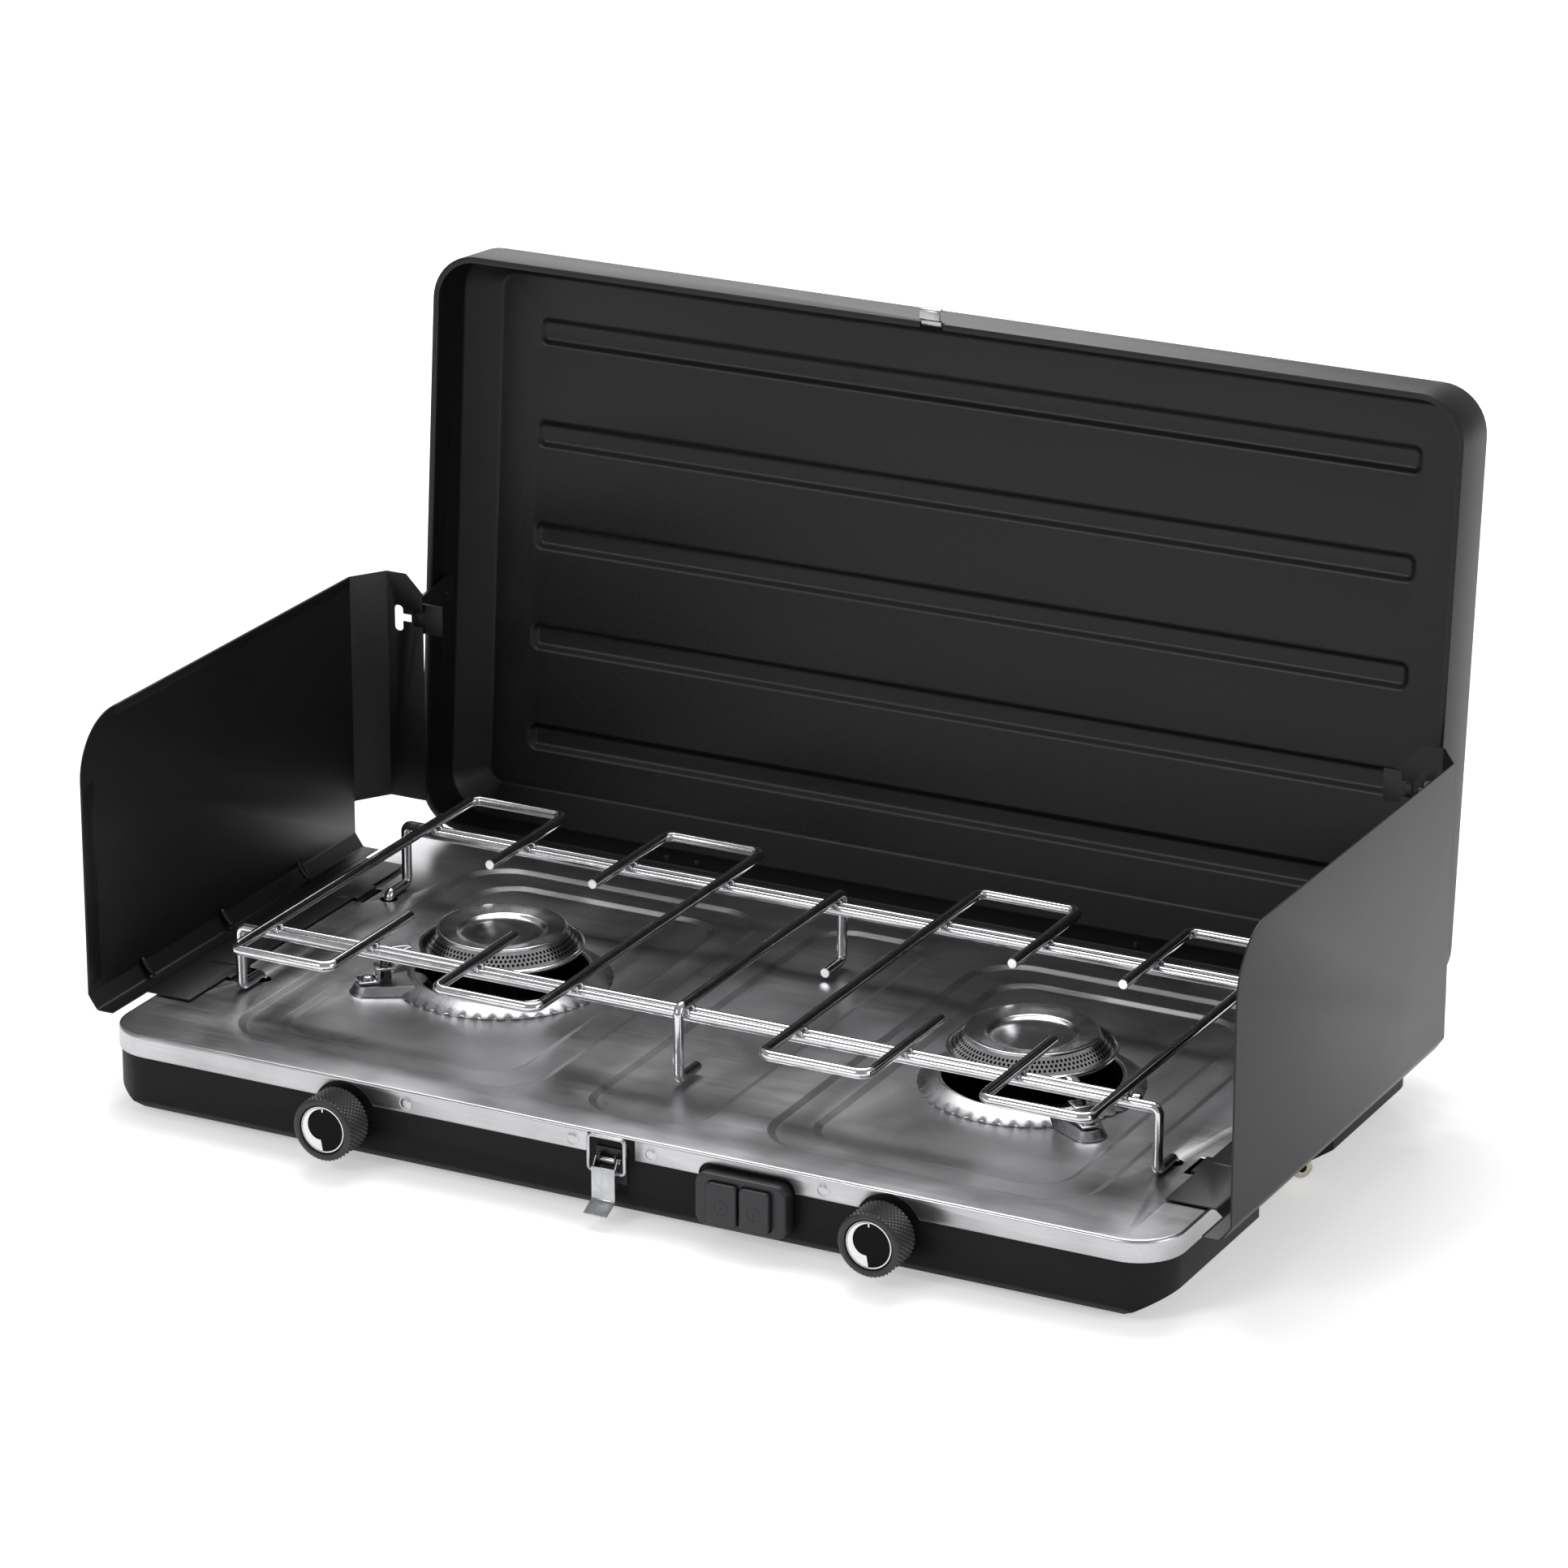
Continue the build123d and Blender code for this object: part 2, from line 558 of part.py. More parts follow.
with BuildPart() as lid_shell:
    add(lid_solid(0, LID_H))
    hem_w, hem_h = LID_HEM
    add(lid_solid(SHEET, LID_H - SHEET), mode=Mode.SUBTRACT)
    with BuildSketch(LID_PLANE):
        with Locations((0, LID_CENTRE)):
            RectangleRounded(CASE_W - 1, CASE_D - 1, CORNER_R - 0.5)
            RectangleRounded(
                CASE_W - 2 * hem_w, CASE_D - 2 * hem_w, CORNER_R - hem_w, mode=Mode.SUBTRACT
            )
    extrude(amount=hem_h)
    with BuildSketch(LID_PLANE.offset(-1)):
        with Locations((0, LID_CENTRE - CASE_D / 2)):
            Rectangle(11.4, 8)
    extrude(amount=hem_h + 1.6, mode=Mode.SUBTRACT)
    add(lid_rivets.part, mode=Mode.SUBTRACT)
save(lid_shell, "lid_shell")

catch_side = Plane(
    origin=LID_PLANE.from_local_coords((-5, 0, 0)),
    x_dir=LID_PLANE.y_dir,
    z_dir=LID_PLANE.x_dir,
)
with BuildPart() as lid_catch:
    with BuildSketch(catch_side):
        front = LID_CENTRE - CASE_D / 2
        with BuildLine() as strip:
            FilletPolyline(
                (front + 1.4, 15), (front + 1.4, 0.4), (front - 1.4, 0.4), (front - 1.4, -1.8),
                (front - 6.2, -1.8), (front - 6.2, 1.6), radius=0.9,
            )
        trace(strip.line, line_width=1)
    extrude(amount=10)
save(lid_catch, "lid_catch")

for side_name, side in SIDES.items():
    with BuildPart() as lid_clip:
        wall_x = side * (CASE_W / 2 - 4)
        tab_y = REAR_FLANGE_Y + 2.3
        with BuildSketch(Plane.YZ.offset(wall_x)):
            with BuildLine():
                Polyline(
                    (tab_y - 0.5, MOUTH_Z - 8), (tab_y - 0.5, MOUTH_Z + 7), (168, MOUTH_Z + 12),
                    (172, MOUTH_Z + 9), (172, MOUTH_Z - 3), (150, MOUTH_Z - 8), close=True,
                )
            make_face()
        extrude(amount=0.9, both=True)
        with BuildSketch(Plane.XZ.offset(-tab_y)):
            with Locations((side * 248.5, MOUTH_Z)):
                Rectangle(17, 15)
        extrude(amount=0.5, both=True)
        with Locations((side * 252.4, tab_y - 0.9, MOUTH_Z)):
            Box(3.4, 1.4, 4.6)
        add(lid_rivets.part, mode=Mode.SUBTRACT)
    save(lid_clip, f"lid_clip_{side_name}")


# ---------------------------------------------------------------- hinges
def knuckles(centre_x, spans):
    """Hinge knuckles round the pin, over spans measured from a leaf's left end."""
    with BuildPart() as barrel:
        for begin, finish in spans:
            start = (centre_x - HINGE_W / 2 + begin, HINGE_Y, HINGE_Z)
            add(bar(start, (1, 0, 0), KNUCKLE_R, finish - begin))
    return barrel.part


pin_starts = [(side * HINGE_X - HINGE_W / 2 - 1, HINGE_Y, HINGE_Z) for side in SIDES.values()]
with BuildPart() as hinge_pins:
    for start in pin_starts:
        add(bar(start, (1, 0, 0), HINGE_PIN_R, HINGE_W + 2))
save(hinge_pins, "hinge_pins")

with BuildPart() as hinge_bores:
    for start in pin_starts:
        add(bar(start, (1, 0, 0), HINGE_PIN_R + RUNNING, HINGE_W + 2))

with BuildPart() as case_hinge_leaves:
    for side in SIDES.values():
        with Locations((side * HINGE_X, CASE_D / 2 + 0.55, HINGE_Z - 5.2)):
            Box(HINGE_W, 1, 10.4)
        with Locations((side * HINGE_X, HINGE_Y, HINGE_Z)):
            Box(HINGE_W - 22 + 0.8, 9, 9, mode=Mode.SUBTRACT)
        add(knuckles(side * HINGE_X, [(0, 11), (HINGE_W - 11, HINGE_W)]))
    add(hinge_bores.part, mode=Mode.SUBTRACT)
save(case_hinge_leaves, "case_hinge_leaves")

with BuildPart() as lid_hinge_leaves:
    with BuildSketch(LID_PLANE.offset(-0.2)):
        with Locations(*[(side * HINGE_X, -2.05) for side in SIDES.values()]):
            Rectangle(HINGE_W - 23, 1)
    extrude(amount=14)
    for side in SIDES.values():
        add(knuckles(side * HINGE_X, [(11.4, HINGE_W - 11.4)]))
    add(hinge_bores.part, mode=Mode.SUBTRACT)
    add(lid_rivets.part, mode=Mode.SUBTRACT)
save(lid_hinge_leaves, "lid_hinge_leaves")


# ---------------------------------------------------------------- windscreens
def windscreen(side):
    """A folded-sheet screen: upright wall, trough, flap on the plate, tabs and rear flange."""
    length = SCREEN_Y[1] - SCREEN_Y[0]
    flap_z = SCREEN_AXIS_Z + 2.8
    with BuildPart() as screen:
        with BuildSketch(Plane.XZ.offset(-SCREEN_Y[0])):
            with BuildLine() as section:
                FilletPolyline(
                    (side * (SCREEN_AXIS_X + 2), flap_z), (side * 263.5, flap_z), (side * 267.5, 36.4),
                    (side * 275.5, 36.4), (side * SCREEN_X, 43), (side * SCREEN_X, SCREEN_TOP),
                    radius=2.4,
                )
            trace(section.line, line_width=SHEET)
        extrude(amount=-length)
        for y_low, y_high in ((SCREEN_Y[0], FLAP_Y[0]), (FLAP_Y[1], SCREEN_Y[1])):
            with BuildSketch(Plane.XY.offset(30)):
                with Locations((side * 250, (y_low + y_high) / 2)):
                    Rectangle(34, y_high - y_low + 0.02)
            extrude(amount=20, mode=Mode.SUBTRACT)
        top_corner = screen.edges().filter_by(Axis.X).group_by(Axis.Z)[-1].sort_by(Axis.Y)[0]
        fillet(top_corner, 28)
        with BuildSketch(Plane.XY.offset(REAR_FLANGE_Z)):
            with BuildLine() as bend:
                Polyline(
                    (side * SCREEN_X, SCREEN_Y[1] - 1), (side * SCREEN_X, SCREEN_Y[1]),
                    (side * 269, REAR_FLANGE_Y), (side * REAR_FLANGE_X, REAR_FLANGE_Y),
                )
            trace(bend.line, line_width=SHEET)
        extrude(amount=SCREEN_TOP - REAR_FLANGE_Z)
        with BuildSketch(Plane.XZ.offset(-REAR_FLANGE_Y)):
            with Locations((side * 262.6, MOUTH_Z - 0.6)):
                RectangleRounded(4.6, 12.6, 2)
            with Locations((side * 256, MOUTH_Z)):
                Rectangle(13, 3.6)
            with Locations((side * 251.4, MOUTH_Z)):
                RectangleRounded(6.4, 7.4, 1.2)
        extrude(amount=2, both=True, mode=Mode.SUBTRACT)
        with BuildSketch(Plane.XZ.offset(-REAR_FLANGE_Y)):
            with BuildLine():
                edge = side * (REAR_FLANGE_X - 0.5)
                Polyline(
                    (edge, SCREEN_TOP + 0.5), (edge + side * 10, SCREEN_TOP + 0.5),
                    (edge, SCREEN_TOP - 9.5), close=True,
                )
            make_face()
        extrude(amount=2, both=True, mode=Mode.SUBTRACT)
        for end in (-1, 1):
            tab_middle = end * TAB_Y
            with BuildSketch(Plane.XZ.offset(-tab_middle - TAB_W / 2)):
                with Locations((side * SCREEN_AXIS_X, SCREEN_AXIS_Z)):
                    Circle(1.4)
                with Locations((side * SCREEN_AXIS_X, (SCREEN_AXIS_Z + flap_z) / 2 + 0.2)):
                    Rectangle(SHEET, flap_z - SCREEN_AXIS_Z + 0.4)
                with Locations((side * (SCREEN_AXIS_X + 1.6), flap_z)):
                    Rectangle(4, SHEET)
            extrude(amount=TAB_W)
            add(bar((side * SCREEN_AXIS_X, tab_middle - TAB_W / 2 - 3, SCREEN_AXIS_Z), (0, 1, 0), 0.8,
                    TAB_W + 6))
    return screen


for side_name, side in SIDES.items():
    save(windscreen(side), f"windscreen_{side_name}")

# ---------------------------------------------------------------- front latch
pivot_y, pivot_z = LATCH_PIVOT
bail_y, bail_z = BAIL_PIVOT
case_face = CASE_D / 2 - CASE_INSET
with BuildPart() as latch_bracket:
    with Locations((0, -case_face - 0.45, 24)):
        Box(15, 0.9, 16)
    for end in (-1, 1):
        with Locations((end * 4, -case_face - 2.6, pivot_z)):
            Box(1, 5.2, 6)
    add(bar((-9, pivot_y, pivot_z), (1, 0, 0), 1.25, 18), mode=Mode.SUBTRACT)
save(latch_bracket, "latch_bracket")

with BuildPart() as latch_pin:
    add(bar((-6.2, pivot_y, pivot_z), (1, 0, 0), 1.2, 12.4))
save(latch_pin, "latch_pin")

with BuildPart() as latch_lever:
    for end in (-1, 1):
        with BuildSketch(Plane.YZ.offset(end * 5.3 - 0.4)):
            with BuildLine():
                Polyline(
                    (pivot_y + 1.6, pivot_z + 1.6), (pivot_y - 1.6, pivot_z + 1.8), (-147.6, 24),
                    (-147.6, 16), (-144, 16), (pivot_y + 2, 22), close=True,
                )
            make_face()
        extrude(amount=0.8)
    with BuildSketch(Plane.YZ.offset(-5.7)):
        with BuildLine() as profile:
            FilletPolyline((-147.2, 25.5), (-147.2, 10.4), (-155, 6.4), radius=1.5)
        trace(profile.line, line_width=0.9)
    extrude(amount=11.4)
    add(bar((-9, pivot_y, pivot_z), (1, 0, 0), 1.2 + RUNNING, 18), mode=Mode.SUBTRACT)
    add(bar((-9, bail_y, bail_z), (1, 0, 0), BAIL_R + RUNNING, 18), mode=Mode.SUBTRACT)
save(latch_lever, "latch_lever")

with BuildPart() as latch_bail:
    add(rod([
        (0, bail_y, bail_z), (-BAIL_HALF_W, bail_y, bail_z), (-BAIL_HALF_W, bail_y, BAIL_TOP),
        (BAIL_HALF_W, bail_y, BAIL_TOP), (BAIL_HALF_W, bail_y, bail_z), (0.01, bail_y, bail_z),
    ], BAIL_R, 1.8))
save(latch_bail, "latch_bail")
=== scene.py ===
"""Looks of a two-burner camp stove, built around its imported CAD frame.

Sizes in the classes are millimetres in the frame's own axes: +X to the cook's right, +Y to the
hinges, +Z up from the table. Every finished mesh is in metres, and its object stays at the origin.
"""

import json
import logging
import math
from collections.abc import Callable, Iterable, Sequence
from dataclasses import dataclass, field
from enum import Enum

import bmesh
import bpy
from mathutils import Matrix, Vector


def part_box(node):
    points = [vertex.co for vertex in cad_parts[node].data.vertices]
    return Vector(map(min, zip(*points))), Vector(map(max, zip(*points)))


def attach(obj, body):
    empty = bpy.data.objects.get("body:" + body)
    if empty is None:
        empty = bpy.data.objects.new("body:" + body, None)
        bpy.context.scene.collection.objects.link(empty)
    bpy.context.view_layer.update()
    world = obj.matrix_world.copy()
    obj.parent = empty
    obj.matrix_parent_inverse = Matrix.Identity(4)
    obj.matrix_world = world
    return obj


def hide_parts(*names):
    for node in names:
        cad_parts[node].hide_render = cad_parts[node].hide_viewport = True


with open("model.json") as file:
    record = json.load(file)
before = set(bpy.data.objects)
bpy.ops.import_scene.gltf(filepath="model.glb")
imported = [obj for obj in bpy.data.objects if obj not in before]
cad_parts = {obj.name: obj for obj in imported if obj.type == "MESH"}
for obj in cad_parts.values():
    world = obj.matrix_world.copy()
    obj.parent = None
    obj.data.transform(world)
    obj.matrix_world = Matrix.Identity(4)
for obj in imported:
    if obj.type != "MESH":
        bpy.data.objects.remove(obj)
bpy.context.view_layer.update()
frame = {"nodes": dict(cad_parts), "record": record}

LOG = logging.getLogger("camp_stove")
MM = 0.001
MERGE = 0.0015  # vertices of a finished piece nearer than this are one
CAD_MERGE = 0.002  # the same for a copy of a CAD mesh
FLAT = math.radians(0.6)  # faces that meet at less than this are one flat face
SIDES = {"left": -1, "right": 1}
TOWARDS_BACK = (0, 1, 0)
TOWARDS_COOK = (0, -1, 0)
Point = tuple[float, float, float]


# ------------------------------------------------------------------ materials
def linear(code: str) -> tuple[float, float, float, float]:
    """Turn an sRGB hex colour into linear light.

    Args:
        code: six hex digits, with or without a leading hash.

    Returns:
        Linear red, green and blue, and an alpha of one.
    """
    digits = code.lstrip("#")
    channels = [int(digits[start:start + 2], 16) / 255 for start in (0, 2, 4)]
    return (*(c / 12.92 if c <= 0.04045 else ((c + 0.055) / 1.055) ** 2.4 for c in channels), 1.0)


def add_node(
    tree: bpy.types.NodeTree,
    kind: str,
    values: dict[str, object] | None = None,
    links: dict[str, bpy.types.NodeSocket] | None = None,
    **settings: object,
) -> bpy.types.Node:
    """Add one node with its settings, values and incoming links.

    Args:
        tree: the node tree that gets the node.
        kind: the node's type name.
        values: constants by input name.
        links: the output socket that feeds each named input.
        **settings: the node's own properties.

    Returns:
        The new node.
    """
    node = tree.nodes.new(kind)
    for name, value in settings.items():
        setattr(node, name, value)
    for name, value in (values or {}).items():
        node.inputs[name].default_value = value
    for name, source in (links or {}).items():
        tree.links.new(source, node.inputs[name])
    return node


class Run(Enum):
    """The way that the marks of a rolled or brushed surface run."""

    NONE = (1.0, 1.0, 1.0)
    ALONG_X = (0.012, 1.0, 1.0)
    ALONG_Z = (1.0, 1.0, 0.03)


@dataclass(frozen=True)
class Finish:
    """A real material and the way its surface was made.

    Attributes:
        name: the material and process.
        slot: the record's material slot; not used.
        colour: its main colour as sRGB hex.
        second: the colour of its cloudy patches or streaks.
        roughness: the middle of its roughness.
        spread: how far the roughness wanders either way.
        metallic: one for bare metal.
        grain: the size of its fine marks in millimetres.
        depth: the height of the marks in millimetres.
        cloud: the size of its patches in millimetres.
        run: the way the marks run.
        coat: the weight of a clear coat or glaze.
        specular: the level of its plain reflection.
    """

    name: str
    slot: str
    colour: str
    second: str
    roughness: float
    spread: float = 0.05
    metallic: float = 0.0
    grain: float = 1.0
    depth: float = 0.02
    cloud: float = 60.0
    run: Run = Run.NONE
    coat: float = 0.0
    specular: float = 0.5

    def material(self) -> bpy.types.Material:
        """Make the material, unless it is already made.

        Returns:
            The one material of this finish.
        """
        made = bpy.data.materials.get(self.name)
        if made:
            return made
        material = bpy.data.materials.new(self.name)
        material.use_nodes = True
        tree = material.node_tree
        shader = tree.nodes["Principled BSDF"]
        shader.inputs["Metallic"].default_value = self.metallic
        shader.inputs["Specular IOR Level"].default_value = self.specular
        if self.coat:
            shader.inputs["Coat Weight"].default_value = self.coat
            shader.inputs["Coat Roughness"].default_value = 0.08
        place = add_node(tree, "ShaderNodeTexCoord")
        turned = add_node(
            tree, "ShaderNodeMapping", {"Scale": self.run.value}, {"Vector": place.outputs["Object"]}
        )
        marks = add_node(
            tree, "ShaderNodeTexNoise", {"Scale": 1 / (self.grain * MM), "Detail": 3.0, "Roughness": 0.6},
            {"Vector": turned.outputs["Vector"]},
        )
        patches = add_node(
            tree, "ShaderNodeTexNoise",
            {"Scale": 1 / (self.cloud * MM), "Detail": 5.0, "Roughness": 0.55, "Distortion": 0.4},
            {"Vector": place.outputs["Object"]},
        )
        both = add_node(
            tree, "ShaderNodeMix", {"Factor": 0.35 if self.run is Run.NONE else 0.3},
            {"A": patches.outputs["Fac"], "B": marks.outputs["Fac"]}, data_type="FLOAT",
        )
        ramp = add_node(tree, "ShaderNodeValToRGB", links={"Fac": both.outputs["Result"]})
        ramp.color_ramp.elements[0].position = 0.36
        ramp.color_ramp.elements[0].color = linear(self.second)
        ramp.color_ramp.elements[1].position = 0.64
        ramp.color_ramp.elements[1].color = linear(self.colour)
        rough = add_node(
            tree, "ShaderNodeMapRange",
            {"From Min": 0.3, "From Max": 0.7, "To Min": self.roughness - self.spread,
             "To Max": self.roughness + self.spread},
            {"Value": both.outputs["Result"]},
        )
        bump = add_node(
            tree, "ShaderNodeBump", {"Strength": 1.0, "Distance": self.depth * MM},
            {"Height": marks.outputs["Fac"]},
        )
        tree.links.new(ramp.outputs["Color"], shader.inputs["Base Color"])
        tree.links.new(rough.outputs["Result"], shader.inputs["Roughness"])
        tree.links.new(bump.outputs["Normal"], shader.inputs["Normal"])
        return material


# satin powder coat: the fine orange peel breaks the light into a soft grey grain
POWDER_COAT = Finish(
    "steel_black_powder_coat", "black_painted_steel", "151516", "111112", 0.4, 0.03,
    grain=1.1, depth=0.07, cloud=120, specular=0.35,
)
# the same coat on the case, flatted: a deeper black with hardly any sheen
MATT_COAT = Finish(
    "steel_black_matt_coat", "black_painted_steel", "0f0f10", "0c0c0d", 0.5, 0.03,
    grain=1.1, depth=0.05, cloud=120, specular=0.16,
)
# rolled and brushed sheet: streaks along the plate over soft cloudy reflections;
# the real brush lines are finer, and are drawn this coarse so that they show
BRUSHED_PLATE = Finish(
    "stainless_brushed_sheet", "brushed_stainless", "c4c4c6", "acacae", 0.33, 0.07, 1.0,
    grain=1.0, depth=0.0006, cloud=55, run=Run.ALONG_X,
)
# deep-drawn stainless, left bright from the press: sharp highlights on every bend
PRESSED_STEEL = Finish(
    "stainless_bright_pressed", "polished_stainless", "cfcfd1", "b2b2b4", 0.2, 0.05, 1.0,
    grain=1.2, depth=0.006, cloud=14,
)
# the same sheet where the press tool left it satin: broad soft highlights
SATIN_STEEL = Finish(
    "stainless_satin_pressed", "polished_stainless", "bdbdbf", "a0a0a2", 0.3, 0.06, 1.0,
    grain=1.0, depth=0.006, cloud=16,
)
# bowl and mixer tubes: plain sheet painted brown-black as painted shade under the burner head and inside
# the case
DARK_STEEL_PAINTED_SHADE = Finish(
    "steel_dark_painted_shade", "plain_steel", "3a3836", "232120", 0.5, 0.08, 1.0,
    grain=1.5, depth=0.02, cloud=12,
)
# the inside of a burner port: near-black painted shade, so that each port reads as a dark hole
PORT_SHADE_STEEL = Finish(
    "steel_port_painted_shade", "plain_steel", "070707", "040404", 0.8, grain=0.4, depth=0.01, cloud=5, specular=0.05,
)
# nickel over machined brass: bright, with a warm yellow left in it
PLATED_BRASS = Finish(
    "brass_nickel_plated", "brass", "c2bcae", "a59e8e", 0.28, 0.05, 1.0, grain=0.6, depth=0.006, cloud=10,
)
# drawn wire under bright chrome: mirror-like, with faint draw marks
CHROMED_WIRE = Finish(
    "chrome_on_drawn_wire", "chromed_wire", "dcdcde", "c6c6c8", 0.13, 0.04, 1.0,
    grain=1.5, depth=0.004, cloud=8,
)
# moulded dial face: flat and dark, so that the white print stands out
DIAL_BLACK = Finish(
    "abs_black_dial", "dark_grey_plastic", "070708", "050505", 0.6, grain=0.5, depth=0.005, specular=0.1,
)
# pad-printed ink: an even white without shine
DIAL_WHITE = Finish("ink_white_pad_print", "dial_print", "f4f4f2", "e8e8e6", 0.5, grain=0.5, depth=0.005)
# glass-filled nylon, moulded with a fine spark texture
MOULDED_GREY = Finish(
    "nylon_moulded_dark_grey", "dark_grey_plastic", "2b2c2e", "242527", 0.46, 0.05,
    grain=0.5, depth=0.02, cloud=25, specular=0.4,
)
# plain moulded housings inside the case: a soft even black
MOULDED_BLACK = Finish(
    "abs_moulded_black", "black_plastic", "1a1a1a", "141414", 0.45, grain=0.4, depth=0.015, cloud=20,
)
# fired glaze over alumina: brown-black with a wet highlight
GLAZED = Finish(
    "alumina_dark_glaze", "glazed_ceramic", "2c2622", "1d1917", 0.25,
    grain=1.0, depth=0.01, cloud=6, coat=0.5,
)
# moulded feet: dull and slightly dusty
RUBBER = Finish("rubber_moulded", "rubber", "1d1d1d", "151515", 0.75, grain=0.5, depth=0.03, cloud=10)
# bright zinc on stamped strip: grey streaks along the stamping
ZINC = Finish(
    "steel_zinc_plated", "zinc_plated_steel", "bfc0c2", "9fa0a3", 0.27, 0.06, 1.0,
    grain=0.9, depth=0.01, cloud=9, run=Run.ALONG_Z,
)
# black zinc on small fittings: a low oily sheen
BLACK_FITTING = Finish(
    "steel_black_zinc", "black_fittings", "1e1e1f", "171718", 0.38, grain=0.7, depth=0.02, cloud=12,
    specular=0.4,
)


# ------------------------------------------------------------------ shaping
class Work:
    """A piece being shaped in millimetres, with bmesh operators."""

    def __init__(self, name: str) -> None:
        """Start an empty piece.

        Args:
            name: the piece's name in the model.
        """
        self.name = name
        self.bm = bmesh.new()

    def copy_node(self, node: str) -> "Work":
        """Add a merged copy of a CAD node, with its flat faces made whole.

        Args:
            node: the CAD node's name.

        Returns:
            This piece.
        """
        self.bm.from_mesh(frame["nodes"][node].data)
        bmesh.ops.scale(self.bm, vec=Vector((1, 1, 1)) / MM, verts=self.bm.verts[:])
        bmesh.ops.remove_doubles(self.bm, verts=self.bm.verts[:], dist=CAD_MERGE)
        bmesh.ops.dissolve_limit(
            self.bm, angle_limit=FLAT, use_dissolve_boundaries=False,
            verts=self.bm.verts[:], edges=self.bm.edges[:], delimit={"NORMAL"},
        )
        return self

    def soften(
        self,
        width: float,
        segments: int = 2,
        least: float = 28.0,
        where: Callable[[Vector], bool] | None = None,
    ) -> "Work":
        """Round the sharp edges.

        Args:
            width: the size of the rounding.
            segments: the steps across it.
            least: the smallest angle between faces, in degrees, that counts as sharp.
            where: says of an edge's middle whether the edge is to be rounded.

        Returns:
            This piece.
        """
        edges = [
            e for e in self.bm.edges
            if e.is_manifold and e.calc_face_angle(0) > math.radians(least)
            and (where is None or where((e.verts[0].co + e.verts[1].co) / 2))
        ]
        bmesh.ops.bevel(
            self.bm, geom=edges, offset=width, offset_type="OFFSET", segments=segments,
            profile=0.5, affect="EDGES", material=-1, clamp_overlap=False,
        )
        return self

    def turned(
        self,
        profile: Sequence[tuple[float, float]],
        centre: Point,
        axis: Point = (0, 0, 1),
        steps: int = 96,
    ) -> list[bmesh.types.BMVert]:
        """Turn a closed profile about an axis.

        Args:
            profile: radius and height pairs, the last of which joins the first.
            centre: the point on the axis at height zero.
            axis: the way the height runs.
            steps: the segments round the axis.

        Returns:
            The vertices of the turned shape.
        """
        up = Vector(axis).normalized()
        side = up.orthogonal().normalized()
        if abs(up.z) > 0.99:
            side = Vector((1, 0, 0))
        middle = Vector(centre)
        before = set(self.bm.verts)
        verts = [self.bm.verts.new(middle + side * r + up * h) for r, h in profile]
        edges = [self.bm.edges.new(pair) for pair in zip(verts, verts[1:] + verts[:1])]
        bmesh.ops.spin(
            self.bm, geom=verts + edges, cent=middle, axis=up, angle=math.tau, steps=steps,
            use_merge=True, use_duplicate=False,
        )
        fresh = [v for v in self.bm.verts if v not in before]
        bmesh.ops.remove_doubles(self.bm, verts=fresh, dist=MERGE)
        return [v for v in self.bm.verts if v not in before]

    def wire(self, points: Sequence[Point], radius: float, bend: float, sides: int = 20) -> "Work":
        """Bend a round wire along straight runs.

        Args:
            points: the wire's two ends and the corners between them.
            radius: the wire's radius.
            bend: the radius of its centre line in each corner.
            sides: the flats round the wire.

        Returns:
            This piece.
        """
        stops = [Vector(p) for p in points]
        heading = (stops[1] - stops[0]).normalized()
        turn = heading.to_track_quat("Z", "Y").to_matrix().to_4x4()
        ring = bmesh.ops.create_circle(
            self.bm, segments=sides, radius=radius, matrix=Matrix.Translation(stops[0]) @ turn
        )["verts"]
        edges = list({e for v in ring for e in v.link_edges})
        first, here = edges, stops[0]
        for corner, after in zip(stops[1:-1], stops[2:]):
            onward = (after - corner).normalized()
            angle = heading.angle(onward)
            set_back = bend * math.tan(angle / 2)
            start = corner - heading * set_back
            edges = self._pull(edges, start - here)
            inward = (onward - heading * onward.dot(heading)).normalized()
            spun = bmesh.ops.spin(
                self.bm, geom=edges + list({v for e in edges for v in e.verts}),
                cent=start + inward * bend, axis=heading.cross(onward).normalized(), angle=angle,
                steps=8, use_merge=False, use_duplicate=False,
            )["geom_last"]
            edges = [g for g in spun if isinstance(g, bmesh.types.BMEdge)]
            here, heading = corner + onward * set_back, onward
        last = self._pull(edges, stops[-1] - here)
        for loop in (first, last):
            caps = bmesh.ops.edgeloop_fill(self.bm, edges=loop)["faces"]
            bmesh.ops.inset_individual(self.bm, faces=caps, thickness=radius * 0.12, depth=radius * 0.1)
        return self

    def _pull(self, edges: Sequence[bmesh.types.BMEdge], by: Vector) -> list[bmesh.types.BMEdge]:
        """Extrude a ring of edges.

        Args:
            edges: the ring.
            by: how far and which way it goes.

        Returns:
            The new ring.
        """
        made = bmesh.ops.extrude_edge_only(self.bm, edges=edges)["geom"]
        verts = [g for g in made if isinstance(g, bmesh.types.BMVert)]
        bmesh.ops.translate(self.bm, verts=verts, vec=by)
        moved = set(verts)
        return [g for g in made if isinstance(g, bmesh.types.BMEdge) and set(g.verts) <= moved]

    def blob(self, centre: Point, size: Point, turn: Matrix | None = None, detail: int = 2) -> "Work":
        """Add a rounded lump, such as a weld nugget.

        Args:
            centre: its middle.
            size: its half sizes.
            turn: how its own axes are turned.
            detail: the subdivisions of its surface.

        Returns:
            This piece.
        """
        place = Matrix.Translation(Vector(centre)) @ (turn or Matrix.Identity(4))
        bmesh.ops.create_icosphere(
            self.bm, subdivisions=detail, radius=1.0, matrix=place @ Matrix.Diagonal((*size, 1)),
        )
        return self

